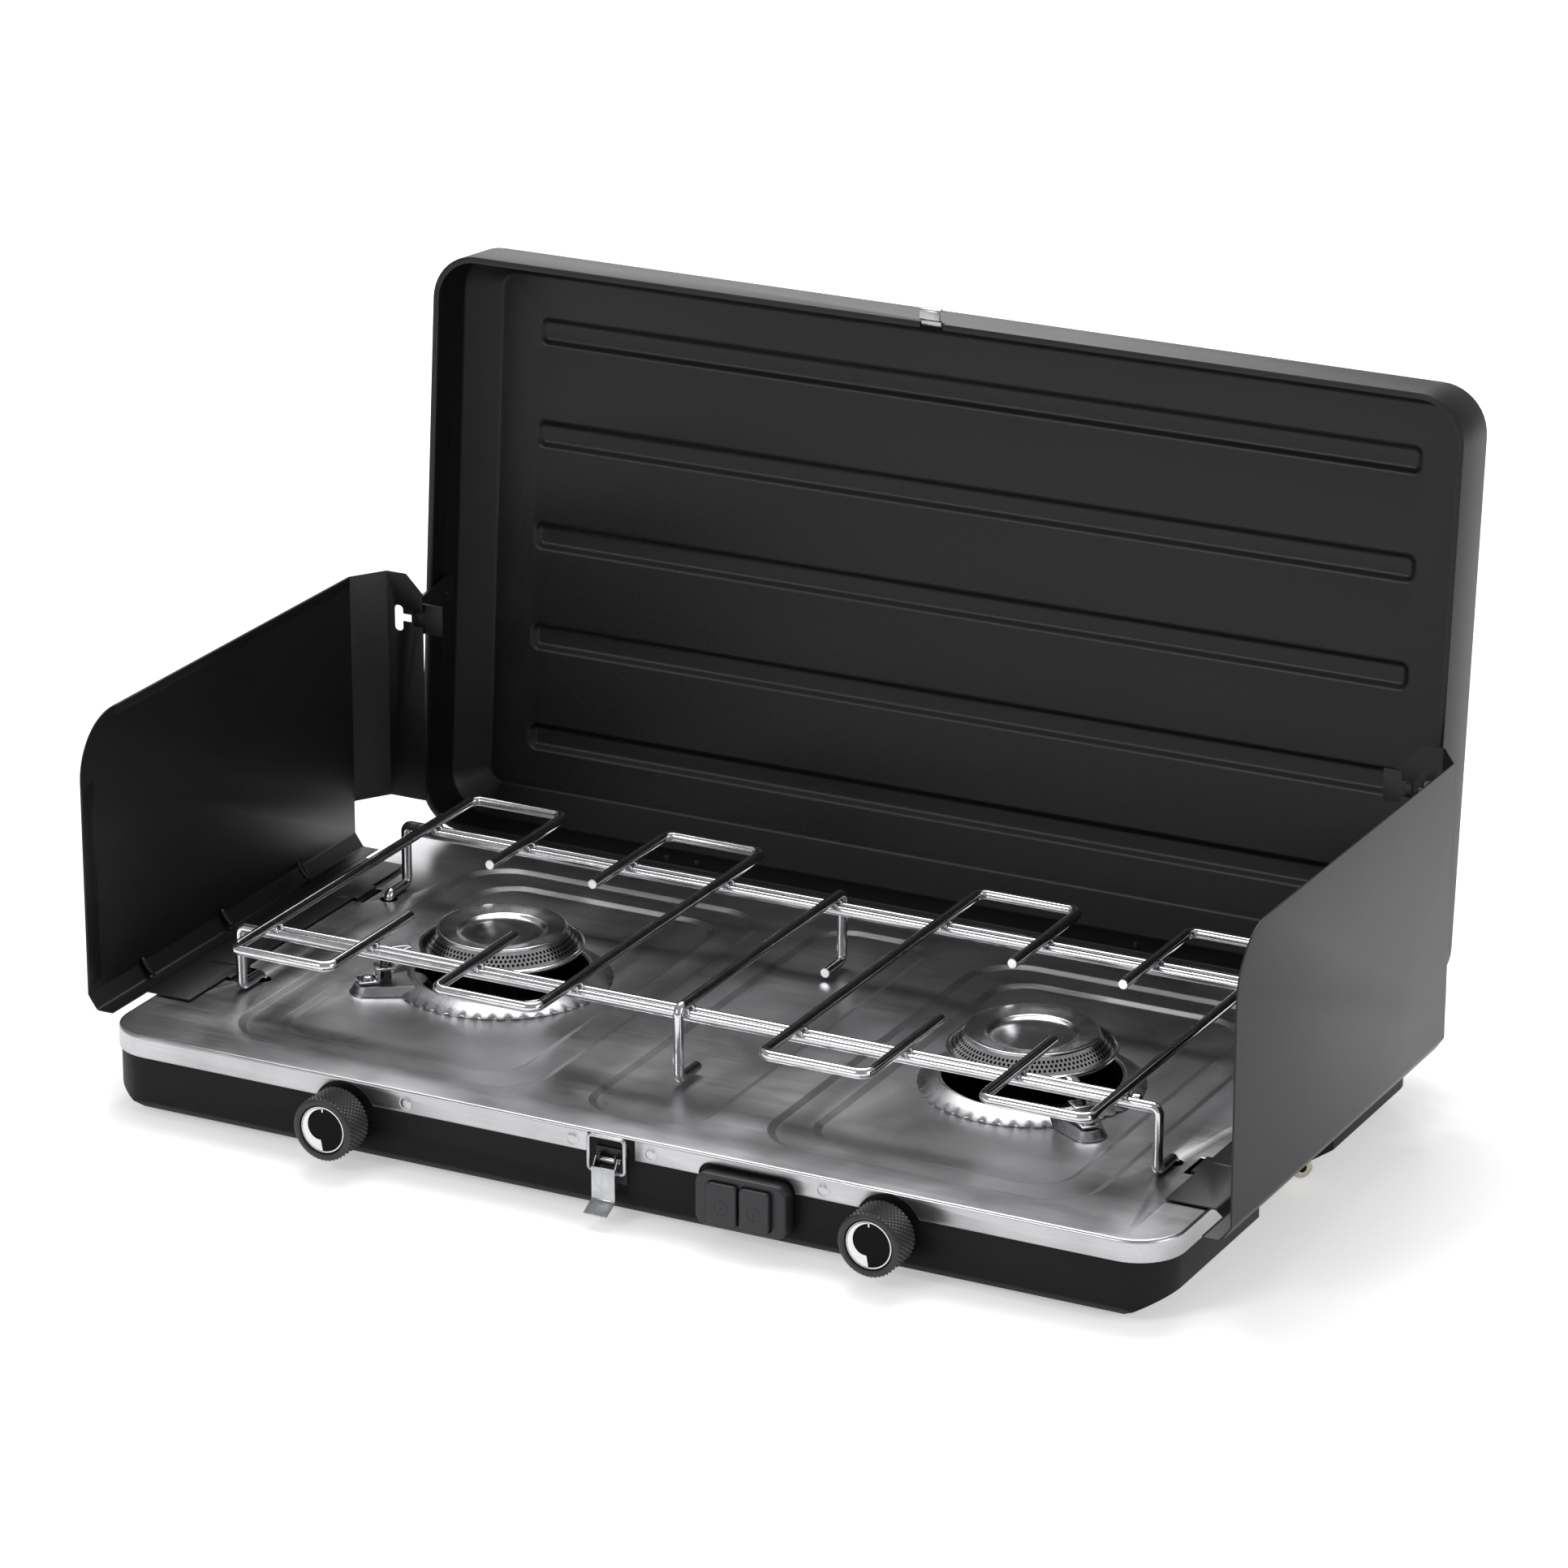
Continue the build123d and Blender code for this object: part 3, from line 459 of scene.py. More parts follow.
    def slab(self, low: Point, high: Point, edge: float = 0.0, turn: Matrix | None = None) -> "Work":
        """Add a block with rounded edges.

        Args:
            low: its lowest corner, about its own middle when turned.
            high: its highest corner.
            edge: the rounding of its edges.
            turn: a matrix that places it after it is made.

        Returns:
            This piece.
        """
        middle = (Vector(low) + Vector(high)) / 2
        size = Vector(high) - Vector(low)
        place = (turn or Matrix.Identity(4)) @ Matrix.Translation(middle) @ Matrix.Diagonal((*size, 1))
        verts = bmesh.ops.create_cube(self.bm, size=1.0, matrix=place)["verts"]
        if edge:
            bmesh.ops.bevel(
                self.bm, geom=list({e for v in verts for e in v.link_edges}), offset=edge,
                offset_type="OFFSET", segments=2, profile=0.5, affect="EDGES", material=-1,
            )
        return self

    def place(
        self, body: str, finishes: Finish | Sequence[Finish], *replaced: str, sharp: float = 34.0
    ) -> bpy.types.Object:
        """Finish the mesh in metres, dress it and let it ride on its body.

        Args:
            body: the CAD body it moves with.
            finishes: its finish, or one for each material index.
            *replaced: the CAD nodes that it stands for.
            sharp: the angle between faces, in degrees, that is left unsmoothed.

        Returns:
            The finished object.
        """
        coats = [finishes] if isinstance(finishes, Finish) else list(finishes)
        bmesh.ops.remove_doubles(self.bm, verts=self.bm.verts[:], dist=MERGE)
        stray = [e for e in self.bm.edges if e.is_wire]
        bmesh.ops.delete(self.bm, geom=stray, context="EDGES")
        bmesh.ops.recalc_face_normals(self.bm, faces=self.bm.faces[:])
        for face in self.bm.faces:
            face.smooth = True
        for edge in self.bm.edges:
            edge.smooth = edge.is_manifold and edge.calc_face_angle(0) < math.radians(sharp)
        bmesh.ops.scale(self.bm, vec=Vector((MM, MM, MM)), verts=self.bm.verts[:])
        mesh = bpy.data.meshes.new(self.name)
        self.bm.to_mesh(mesh)
        self.bm.free()
        for coat in coats:
            mesh.materials.append(coat.material())
        piece = bpy.data.objects.new(self.name, mesh)
        bpy.context.scene.collection.objects.link(piece)
        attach(piece, body)
        if replaced:
            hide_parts(*replaced)
        LOG.info("%s: %d faces on %s", self.name, len(mesh.polygons), body)
        return piece


def body_of_node(node: str) -> str:
    """Name the CAD body that a node belongs to.

    Args:
        node: the CAD node's name.

    Returns:
        The body's name.
    """
    for body, nodes in frame["record"]["behaviour"]["bodies"].items():
        if node in nodes:
            return body
    return "case"


def softened(node: str, finish: Finish, width: float) -> bpy.types.Object:
    """Stand a copy with rounded edges in for a CAD node.

    Args:
        node: the CAD node.
        finish: the copy's finish.
        width: the size of the rounding.

    Returns:
        The new piece.
    """
    work = Work(f"{node}_shape").copy_node(node).soften(width)
    return work.place(body_of_node(node), finish, node)


def middle_of(node: str) -> Vector:
    """Give the middle of a CAD node's box, in millimetres."""
    low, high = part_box(node)
    return (low + high) / 2 / MM


# ------------------------------------------------------------------ cooking plate and case
@dataclass
class Casing:
    """The black case, its stainless plate and the gas parts that show in the recess."""

    wall_run: float = 1.7
    wall_slope: tuple[float, float] = (0.5, 0.85)  # how far a pressed wall faces up
    inside: tuple[float, float] = (250.0, 130.0)  # past this lies the plate's rolled edge
    dimples_x: tuple[float, ...] = (-102.0, -19.2, 19.2, 102.0)

    def build(self) -> None:
        """Make the plate, the case and the flange's rivets."""
        plate = Work("cooking_plate").copy_node("top_plate")
        self._ease_panels(plate)
        plate.soften(0.45, 2, 20)
        plate.place("case", BRUSHED_PLATE, "top_plate")
        softened("base_case", MATT_COAT, 0.35)
        softened("case_feet", RUBBER, 0.4)
        self._rivets()
        softened("gas_inlet", PLATED_BRASS, 0.25)
        softened("case_hinge_leaves", BLACK_FITTING, 0.15)

    def _ease_panels(self, plate: Work) -> None:
        """Draw the foot of each pressed wall in, so that the walls slope gently.

        Args:
            plate: the cooking plate's copy.
        """
        steepest, flattest = self.wall_slope
        plate.bm.normal_update()
        inward: dict[bmesh.types.BMVert, Vector] = {}
        for face in plate.bm.faces:
            middle = face.calc_center_median()
            if abs(middle.x) > self.inside[0] or abs(middle.y) > self.inside[1]:
                continue
            if not steepest < face.normal.z < flattest:
                continue
            foot = min(v.co.z for v in face.verts)
            for vert in face.verts:
                if vert.co.z < foot + 0.05:
                    way = Vector((face.normal.x, face.normal.y, 0)).normalized()
                    inward[vert] = inward.get(vert, Vector()) + way
        for vert, way in inward.items():
            vert.co += way.normalized() * self.wall_run

    def _rivets(self) -> None:
        """Press the round dimples along the front flange."""
        low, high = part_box("flange_rivets")
        face = high.y / MM
        height = (low.z + high.z) / 2 / MM
        work = Work("flange_dimples")
        for x in self.dimples_x:
            work.turned(
                [(0, 0.5), (1.5, 0.47), (2.3, 0.28), (2.7, 0.04), (2.9, 0.02), (3.1, 0.12), (3.3, 0.12),
                 (3.4, -0.1), (0, -0.1)],
                (x, face, height), TOWARDS_COOK, 40,
            )
        work.place("case", BRUSHED_PLATE, "flange_rivets")


# ------------------------------------------------------------------ burners
@dataclass
class Burner:
    """One burner: ported head, dished disc, rolled lip, crimped collar and its electrode."""

    side: str
    head_top_r: float = 29.4
    lip_r: float = 37.9
    top_z: float = 61.5
    lip_z: float = 53.2
    ports: int = 100
    port_r: float = 0.8
    port_depth: float = 0.9
    rows: int = 3
    seat_z: float = 36.1
    crimps: int = 44
    crimp_from: float = 50.2
    crimp_depth: float = 0.8
    bowl_ribs: int = 12
    rib_height: float = 0.5
    ear_angle: float = 42.0
    ear_r: float = 62.5
    ear_end: float = 8.4
    ear_root: tuple[float, float] = (45.0, 12.6)  # where the ear's root lies, and its radius
    electrode_r: float = 54.0
    spark_r: float = 43.2
    x: float = field(init=False)
    outward: Vector = field(init=False)

    def __post_init__(self) -> None:
        """Work out where the burner and its ear stand."""
        sign = SIDES[self.side]
        self.x = middle_of(f"burner_head_{self.side}").x
        angle = math.radians(-self.ear_angle if sign > 0 else 180 + self.ear_angle)
        self.outward = Vector((math.cos(angle), math.sin(angle), 0))

    def build(self) -> None:
        """Make every piece of the burner."""
        self._head()
        self._disc()
        self._collar()
        self._bowl()
        self._electrode()

    def _head(self) -> None:
        """Make the conical skirt with its staggered ports and the rolled lip."""
        work = Work(f"burner_skirt_{self.side}")
        foot, head = (self.lip_r - 2.1, self.lip_z + 1.9), (self.head_top_r + 0.5, self.top_z - 1.3)
        bands = self.rows + 0.6  # the rows of ports, and a plain band above them
        rise = [(foot[0] + (head[0] - foot[0]) * k / bands,
                 foot[1] + (head[1] - foot[1]) * k / bands) for k in range(self.rows + 1)]
        profile = [*rise, head, (head[0] - 0.8, head[1]), (foot[0] - 2.2, foot[1] - 0.6),
                   (self.lip_r - 4.2, self.lip_z - 0.4), (self.lip_r - 1.2, self.lip_z - 0.9),
                   (self.lip_r - 0.2, self.lip_z - 0.6), (self.lip_r + 0.1, self.lip_z),
                   (self.lip_r - 0.1, self.lip_z + 0.6), (self.lip_r - 0.7, self.lip_z + 0.9),
                   (self.lip_r - 1.3, self.lip_z + 1.0)]
        work.turned(profile, (self.x, 0, 0), steps=2 * self.ports)
        self._pierce(work.bm, [z for _, z in rise])
        # the second finish is the near-black painted shade on the port walls
        work.place("case", (PRESSED_STEEL, PORT_SHADE_STEEL), f"burner_head_{self.side}")

    def _pierce(self, bm: bmesh.types.BMesh, levels: Sequence[float]) -> None:
        """Join the skirt's faces in staggered pairs and sink a port into each pair, its walls painted
        near-black as shade.

        Args:
            bm: the skirt's mesh, with two columns of faces for each port.
            levels: the heights that part the rows of ports.
        """
        columns = 2 * self.ports
        axis = Vector((self.x, 0, 0))
        for row, (low, high) in enumerate(zip(levels, levels[1:])):
            cuts = []
            for edge in bm.edges:
                a, b = (v.co for v in edge.verts)
                if abs(min(a.z, b.z) - low) < 0.01 and abs(max(a.z, b.z) - high) < 0.01:
                    out = (a + b) / 2 - axis
                    column = round(math.atan2(out.y, out.x) / math.tau * columns)
                    if (column + row) % 2:
                        cuts.append(edge)
            bmesh.ops.dissolve_edges(bm, edges=cuts, use_verts=False)
        cells = [f for f in bm.faces if len(f.verts) >= 6
                 and levels[0] < f.calc_center_median().z < levels[-1]]
        bmesh.ops.inset_individual(bm, faces=cells, thickness=0.3, depth=0.0)
        for cell in cells:
            middle = cell.calc_center_median()
            for vert in cell.verts:
                vert.co = middle + (vert.co - middle).normalized() * self.port_r
        inner = bmesh.ops.extrude_discrete_faces(bm, faces=cells)["faces"]
        for face in inner:
            away = (face.calc_center_median() - axis).normalized()
            bmesh.ops.translate(bm, verts=face.verts[:], vec=-away * self.port_depth)
            # the port walls take material 1, the near-black painted shade
            for wall in {f for e in face.edges for f in e.link_faces}:
                wall.material_index = 1

    def _disc(self) -> None:
        """Make the polished disc with its bevelled ring and dished middle."""
        top, rim = self.top_z, self.head_top_r
        work = Work(f"burner_dish_{self.side}")
        work.turned(
            [(0, top - 3.3), (9, top - 3.45), (14.5, top - 3.5), (17.6, top - 3.3), (19.4, top - 2.7),
             (20.3, top - 2.0), (20.8, top - 1.75), (21.3, top - 1.65), (24.6, top - 0.85),
             (rim - 1.2, top - 0.1), (rim - 0.5, top), (rim, top - 0.1), (rim + 0.4, top - 0.5),
             (rim + 0.5, top - 1.1), (rim + 0.3, top - 1.5), (rim - 1, top - 1.5),
             (22, top - 2.2), (18, top - 3.6), (14, top - 4.4), (0, top - 4.6)],
            (self.x, 0, 0), steps=128,
        )
        work.place("case", PRESSED_STEEL, f"burner_disc_{self.side}")

    def _collar(self) -> None:
        """Make the flared collar with its crimped edge and the ear for the electrode."""
        work = Work(f"burner_flare_{self.side}")
        seat, top = self.seat_z, self.seat_z + 5.1
        verts = work.turned(
            [(39.9, seat - 4), (40.3, seat - 4), (40.4, top - 1.4), (40.9, top - 0.5), (41.6, top - 0.3),
             (42.3, top - 0.6), (46.4, 38.9), (49.6, 37.2), (50.5, 36.6), (50.6, seat),
             (49.6, seat), (46, 38.0), (42, top - 1.6), (39.9, top - 0.9)],
            (self.x, 0, 0), steps=self.crimps * 6,
        )
        axis = Vector((self.x, 0, 0))
        for vert in verts:
            out = Vector((vert.co.x, vert.co.y, 0)) - axis
            if out.length > self.crimp_from:
                wave = max(0.0, math.cos(self.crimps * math.atan2(out.y, out.x)))
                vert.co -= out.normalized() * self.crimp_depth * wave ** 3
        self._ear(work.bm)
        work.place("case", SATIN_STEEL, f"burner_collar_{self.side}")

    def _ear(self, bm: bmesh.types.BMesh) -> None:
        """Press up the collar's ear from a capsule outline, step by step.

        Args:
            bm: the collar's mesh.
        """
        turn = Matrix.Translation((self.x, 0, 0)) @ self._bearing()
        ring = bmesh.ops.create_circle(bm, cap_ends=True, segments=56, radius=1.0)["verts"]
        for vert in ring:
            centre, radius = self.ear_root if vert.co.x < 0 else (self.ear_r, self.ear_end)
            vert.co = turn @ Vector((centre + radius * vert.co.x, radius * vert.co.y, self.seat_z))
        base = [f for f in bm.faces if all(v in ring for v in f.verts)]
        made = bmesh.ops.extrude_face_region(bm, geom=base)["geom"]
        top_face = [g for g in made if isinstance(g, bmesh.types.BMFace)]
        top_verts = [g for g in made if isinstance(g, bmesh.types.BMVert)]
        bmesh.ops.translate(bm, verts=top_verts, vec=Vector((0, 0, 0.5)))
        bmesh.ops.recalc_face_normals(bm, faces=bm.faces[:])
        for inset, rise in ((0.5, 0.4), (1.6, 2.6), (0.5, 0.5), (0.7, 0.1), (1.0, -0.05)):
            bmesh.ops.inset_region(bm, faces=top_face, thickness=inset, depth=rise, use_even_offset=True)

    def _bowl(self) -> None:
        """Make the bowl under the head, painted dark as shade, with its drawn ribs."""
        work = Work(f"burner_bowl_{self.side}")
        verts = work.turned(
            [(0, 13), (19.4, 13), (20, 13.6), (20, 43), (21.5, 45.2), (32, 49.4), (35.4, 50.4),
             (36.4, 51.2), (36.6, 52.6), (35.6, 52.8), (35.2, 51.8), (31.6, 50.4), (20.6, 46),
             (19, 43.6), (19, 14), (0, 14)],
            (self.x, 0, 0), steps=96,
        )
        axis = Vector((self.x, 0, 0))
        for vert in verts:
            out = Vector((vert.co.x, vert.co.y, 0)) - axis
            if 19.5 < out.length < 21 and vert.co.z > 20:
                wave = max(0.0, math.cos(self.bowl_ribs * math.atan2(out.y, out.x)))
                vert.co += out.normalized() * self.rib_height * wave
        # the bowl's near-black colour is painted shade
        work.place("case", DARK_STEEL_PAINTED_SHADE, f"burner_pot_{self.side}")

    def _electrode(self) -> None:
        """Make the spark electrode: glazed body, flat spark tab and bracket."""
        stand = self.point_at(self.electrode_r)
        body = Work(f"electrode_body_{self.side}")
        low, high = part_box(f"electrode_{self.side}")
        z0, z1 = low.z / MM, high.z / MM
        body.turned(
            [(0, z0), (2.2, z0), (2.6, z0 + 0.4), (2.6, z0 + 3), (2.3, z0 + 3.4), (2.6, z0 + 3.8),
             (2.6, z1 - 2), (2.0, z1 - 0.6), (1.4, z1), (0, z1)],
            (stand.x, stand.y, 0), steps=28,
        )
        body.place("case", GLAZED, f"electrode_{self.side}")
        tip = Work(f"spark_tab_{self.side}")
        near, top = self.point_at(self.spark_r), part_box(f"spark_tip_{self.side}")[1].z / MM - 1.0
        tip.wire(
            [(stand.x, stand.y, z1 - 1), (stand.x, stand.y, top), (near.x, near.y, top)], 0.7, 1.3, 12
        )
        turn = Matrix.Translation((near.x, near.y, top)) @ self._bearing()
        droop = Matrix.Rotation(math.radians(14), 4, "Y")
        tip.slab((-0.9, -2.4, -0.4), (4.6, 2.4, 0.4), 0.2, turn @ droop)
        tip.place("case", ZINC, f"spark_tip_{self.side}")
        softened(f"electrode_bracket_{self.side}", ZINC, 0.22)

    def _bearing(self) -> Matrix:
        """Give the turn about the burner's axis that points +X along the ear."""
        return Matrix.Rotation(math.atan2(self.outward.y, self.outward.x), 4, "Z")

    def point_at(self, radius: float) -> Vector:
        """Give the point over the ear at a radius from the burner's axis."""
        return Vector((self.x, 0, 0)) + self.outward * radius


@dataclass
class EarScrews:
    """The pan screws and washers that hold the electrode brackets."""

    head_r: float = 3.0

    def build(self, burners: Iterable[Burner]) -> None:
        """Turn a washer and a pan head on each ear.

        Args:
            burners: the burners whose ears carry the screws.
        """
        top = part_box("ear_screws")[1].z / MM
        work = Work("ear_screw_heads")
        for burner in burners:
            at = burner.point_at(burner.ear_r)
            work.turned([(0, top - 3), (4.2, top - 3), (4.3, top - 2.2), (4.1, top - 2), (0, top - 2)],
                        (at.x, at.y, 0), steps=40)
            work.turned([(0, top - 2), (self.head_r, top - 2), (self.head_r, top - 1.1),
                         (self.head_r - 0.6, top - 0.4), (self.head_r - 1.6, top), (0, top)],
                        (at.x, at.y, 0), steps=32)
            for angle in (20, 110):
                spin = Matrix.Rotation(math.radians(angle), 4, "Z")
                turn = Matrix.Translation((at.x, at.y, top)) @ spin
                work.slab((-1.7, -0.28, -0.05), (1.7, 0.28, 0.03), turn=turn)
        work.place("case", ZINC, "ear_screws")


# ------------------------------------------------------------------ pot support
@dataclass
class PotSupport:
    """The lift-off grid of chromed wire, with a weld nugget pair at each crossing."""

    wire_r: float = 2.4
    wire_z: float = 74.3
    rail_z: float = 69.8
    rail_y: float = 73.5
    leg_x: float = 226.6
    loop_bend: float = 5.0
    centre_bend: float = 3.5
    leg_bend: float = 2.9
    finger_y: float = 36.0
    end_y: float = 107.5
    centre_y: float = 78.7
    foot_run: float = 17.0
    foot_z: float = 41.1
    rod_x: float = 216.0
    loops: dict[str, tuple[float, float]] = field(default_factory=lambda: {
        "a": (-209.7, -159.9), "b": (-55.4, -106.0), "c": (55.4, 106.0), "d": (209.7, 159.9),
    })

    def build(self) -> None:
        """Bend the wires and set the welds."""
        body, z = "pot_support", self.wire_z
        for name, (outer, inner) in self.loops.items():
            Work(f"grid_wire_{name}").wire(
                [(inner, -self.finger_y, z), (inner, -self.end_y, z), (outer, -self.end_y, z),
                 (outer, self.end_y, z), (inner, self.end_y, z), (inner, self.finger_y, z)],
                self.wire_r, self.loop_bend,
            ).place(body, CHROMED_WIRE, f"cross_wire_{name}")
        low, y = self.foot_z, self.centre_y
        Work("grid_centre_wire").wire(
            [(0, self.foot_run - y, low), (0, -y, low), (0, -y, z), (0, y, z), (0, y, low),
             (0, y - self.foot_run, low)], self.wire_r, self.centre_bend,
        ).place(body, CHROMED_WIRE, "centre_wire")
        for name, end in (("front", -1), ("rear", 1)):
            y, hole = end * self.rail_y, end * (self.rail_y - self.foot_run)
            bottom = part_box(f"leg_rail_{name}")[0].z / MM
            Work(f"grid_rail_{name}").wire(
                [(-self.leg_x, hole, bottom), (-self.leg_x, hole, low), (-self.leg_x, y, low),
                 (-self.leg_x, y, self.rail_z), (self.leg_x, y, self.rail_z), (self.leg_x, y, low),
                 (self.leg_x, hole, low), (self.leg_x, hole, bottom)], self.wire_r, self.leg_bend,
            ).place(body, CHROMED_WIRE, f"leg_rail_{name}")
        rods = Work("grid_doubling_rods")
        inner_y = self.rail_y - 2 * self.wire_r
        for end in (-1, 1):
            y = end * inner_y
            rods.wire([(-self.rod_x, y, self.rail_z), (self.rod_x, y, self.rail_z)], self.wire_r, 1)
        rods.place(body, CHROMED_WIRE, "doubling_rods")
        self._welds(inner_y)

    def _welds(self, inner_y: float) -> None:
        """Set two squashed nuggets beside each wire where it crosses a rail.

        Args:
            inner_y: how far the doubling rods lie from the middle.
        """
        work = Work("grid_welds")
        height = (self.wire_z + self.rail_z) / 2
        crossings = [x for pair in self.loops.values() for x in pair] + [0.0]
        for x in crossings:
            for end in (-1, 1):
                for y in (self.rail_y, inner_y):
                    for beside in (-1, 1):
                        lean = Matrix.Rotation(beside * math.radians(24), 4, "Y")
                        spot = (x + beside * 2.0, end * y, height + 0.1)
                        work.blob(spot, (1.25, 1.7, 1.0), lean)
        for end in (-1, 1):
            for x in (2.5 - self.rod_x, self.rod_x - 2.5):
                spot = (x, end * (self.rail_y + inner_y) / 2, self.rail_z + 1.3)
                work.blob(spot, (2.0, 1.1, 0.9))
        work.place("pot_support", CHROMED_WIRE)


# ------------------------------------------------------------------ lid
@dataclass
class Lid:
    """The black lid with its ribs, rivets, catch and clips."""

    rib_edge: float = 1.0
    rim_edge: float = 0.28
    hinge: Point = (0.0, 142.6, 39.2)
    tilt: float = 94.8
    panel_depth: float = 25.0

    def build(self) -> None:
        """Make the lid and its fittings."""
        shell = Work("lid_shape").copy_node("lid_shell")
        shell.soften(self.rib_edge, 3, 20, self._on_panel)
        shell.soften(self.rim_edge, 2, 28, lambda middle: not self._on_panel(middle))
        shell.place("lid", POWDER_COAT, "lid_shell")
        softened("lid_catch", ZINC, 0.2)
        softened("lid_rivets", BLACK_FITTING, 0.4)
        softened("lid_hinge_leaves", BLACK_FITTING, 0.15)
        for side in SIDES:
            softened(f"lid_clip_{side}", BLACK_FITTING, 0.2)

    def _on_panel(self, middle: Vector) -> bool:
        """Say whether an edge lies on the lid's panel or its slanting border, away from the rim.

        Args:
            middle: the edge's middle.

        Returns:
            True on the panel's side of the lid.
        """
        tilt = math.radians(self.tilt)
        away = Vector((0, math.sin(tilt), math.cos(tilt)))
        return (middle - Vector(self.hinge)).dot(away) > self.panel_depth


# ------------------------------------------------------------------ windscreens
@dataclass
class Windscreen:
    """One folding screen: hemmed sheet with pressed gussets in its lower bend."""

    side: str
    face_x: float = 280.0
    hem_t: float = 0.64
    gusset_y: tuple[float, ...] = (-74.5, -6.5, 61.5)
    bead_y: tuple[float, ...] = (-52.0, 46.0)

    def build(self) -> None:
        """Make the sheet, its hems and its gussets."""
        sign, body = SIDES[self.side], f"windscreen_{self.side}"
        softened(body, POWDER_COAT, 0.22)
        trim = Work(f"windscreen_trim_{self.side}")
        lean = Matrix.Rotation(sign * math.radians(40), 4, "Y")
        for y in self.gusset_y:
            trim.blob((sign * (self.face_x - 3.9), y, 42.0), (1.1, 2.1, 5.2), lean, 3)
        sheet = sign * (self.face_x - 0.35)
        inner, outer = sheet - self.hem_t / 2, sheet + self.hem_t / 2
        trim.slab((inner, -88, 167.2), (outer, 114, 171.8), 0.25)
        trim.slab((inner, -117.8, 47), (outer, -108, 142), 0.25)
        for y in self.bead_y:
            trim.blob((sign * 250, y, 40.0), (7.5, 2.0, 0.5), detail=3)
        trim.place(body, POWDER_COAT)


# ------------------------------------------------------------------ controls
@dataclass
class Knob:
    """One control knob: knurled rim, black dial, white ring and flame crescent."""

    side: str
    radius: float = 14.8
    front_y: float = -160.0
    back_y: float = -143.5
    knurls: int = 44
    knurl_height: float = 0.8
    plain: float = 1.4  # the unknurled length at each end
    rows: int = 9
    print_rise: float = 0.12

    def build(self) -> None:
        """Make the knob and its dial."""
        body, length = f"knob_{self.side}", self.back_y - self.front_y
        x, _, z = middle_of(body)
        work = Work(f"knob_grip_{self.side}")
        dial, side_r = self.radius - 3.4, self.radius - 0.7
        pitch = (length - 2 * self.plain) / self.rows
        sides = [(side_r, self.plain + pitch * k) for k in range(self.rows + 1)]
        profile = [(3, 3), (dial - 0.4, 3), (dial - 0.2, 2.2), (dial, 0.5), (dial + 0.5, 0.05),
                   (dial + 1.6, 0), (self.radius - 1.3, 0.1), (self.radius - 0.6, 0.6), *sides,
                   (side_r, length - 0.7), (self.radius - 1.4, length), (3, length)]
        work.turned(profile, (x, self.front_y, z), TOWARDS_BACK, steps=2 * self.knurls)
        self._knurl(work.bm, Vector((x, 0, z)), side_r, pitch)
        work.place(body, MOULDED_GREY, f"knob_{self.side}", sharp=12.0)
        self._dial(Vector((x, self.front_y + 1.1, z)), dial - 0.3, body)

    def _knurl(self, bm: bmesh.types.BMesh, axis: Vector, side_r: float, pitch: float) -> None:
        """Raise every other point of the side and fold its faces into small pyramids.

        Args:
            bm: the knob's mesh.
            axis: a point on the knob's axis, at y = 0.
            side_r: the radius of the plain side.
            pitch: the spacing of the rows of points.
        """
        grip: dict[bmesh.types.BMVert, bool] = {}
        for vert in bm.verts:
            out = Vector((vert.co.x, 0, vert.co.z)) - axis
            row = (vert.co.y - self.front_y - self.plain) / pitch
            if abs(out.length - side_r) < 0.02 and abs(row - round(row)) < 0.01:
                column = round(math.atan2(out.z, out.x) / math.tau * 2 * self.knurls)
                grip[vert] = bool((column + round(row)) % 2)
                if grip[vert]:
                    vert.co += out.normalized() * self.knurl_height
        for face in bm.faces[:]:
            if all(v in grip for v in face.verts):
                low = [v for v in face.verts if not grip[v]]
                bmesh.utils.face_split(face, *low)

    def _dial(self, centre: Vector, radius: float, body: str) -> None:
        """Print the dial: a black face, a thin white ring and a filled flame crescent.

        Args:
            centre: the middle of the dial's face.
            radius: the face's radius.
            body: the CAD body of the knob.
        """
        face = Work(f"knob_face_{self.side}")
        face.turned([(0, 0), (radius, 0), (radius, 1.2), (0, 1.2)], tuple(centre), TOWARDS_BACK, 64)
        face.place(body, DIAL_BLACK, f"knob_dial_{self.side}")
        mark = Work(f"knob_mark_{self.side}")
        ring = (radius - 1.0, radius - 0.45)
        front = -self.print_rise
        mark.turned([(ring[0], front), (ring[1], front), (ring[1], 0.02), (ring[0], 0.02)],
                    tuple(centre), TOWARDS_BACK, 72)
        outer, half = radius - 0.7, 15
        turns = [math.pi / 2 + k * math.pi / half for k in range(half + 1)]
        rim = [Vector((math.cos(turn), 0, math.sin(turn))) for turn in turns]
        place = centre + Vector((0, front, 0))
        arc = [mark.bm.verts.new(place + r * outer) for r in rim]
        inner = []
        for k, r in enumerate(rim):
            bulge = 0.45 + 0.5 * (1 - k / half) ** 0.95
            point = r * outer * bulge if k < half else Vector((0, 0, -outer))
            inner.append(mark.bm.verts.new(place + Vector((min(point.x, -0.05), 0, point.z))))
        flame = [mark.bm.faces.new((arc[k], arc[k + 1], inner[k + 1], inner[k])) for k in range(half)]
        made = bmesh.ops.extrude_face_region(mark.bm, geom=flame)["geom"]
        backs = [g for g in made if isinstance(g, bmesh.types.BMVert)]
        bmesh.ops.translate(mark.bm, verts=backs, vec=Vector((0, 0.1, 0)))
        top = centre.z + outer
        mark.slab((centre.x - 0.3, place.y, top - 2.2), (centre.x + 0.3, place.y + 0.1, top))
        mark.place(body, DIAL_WHITE)


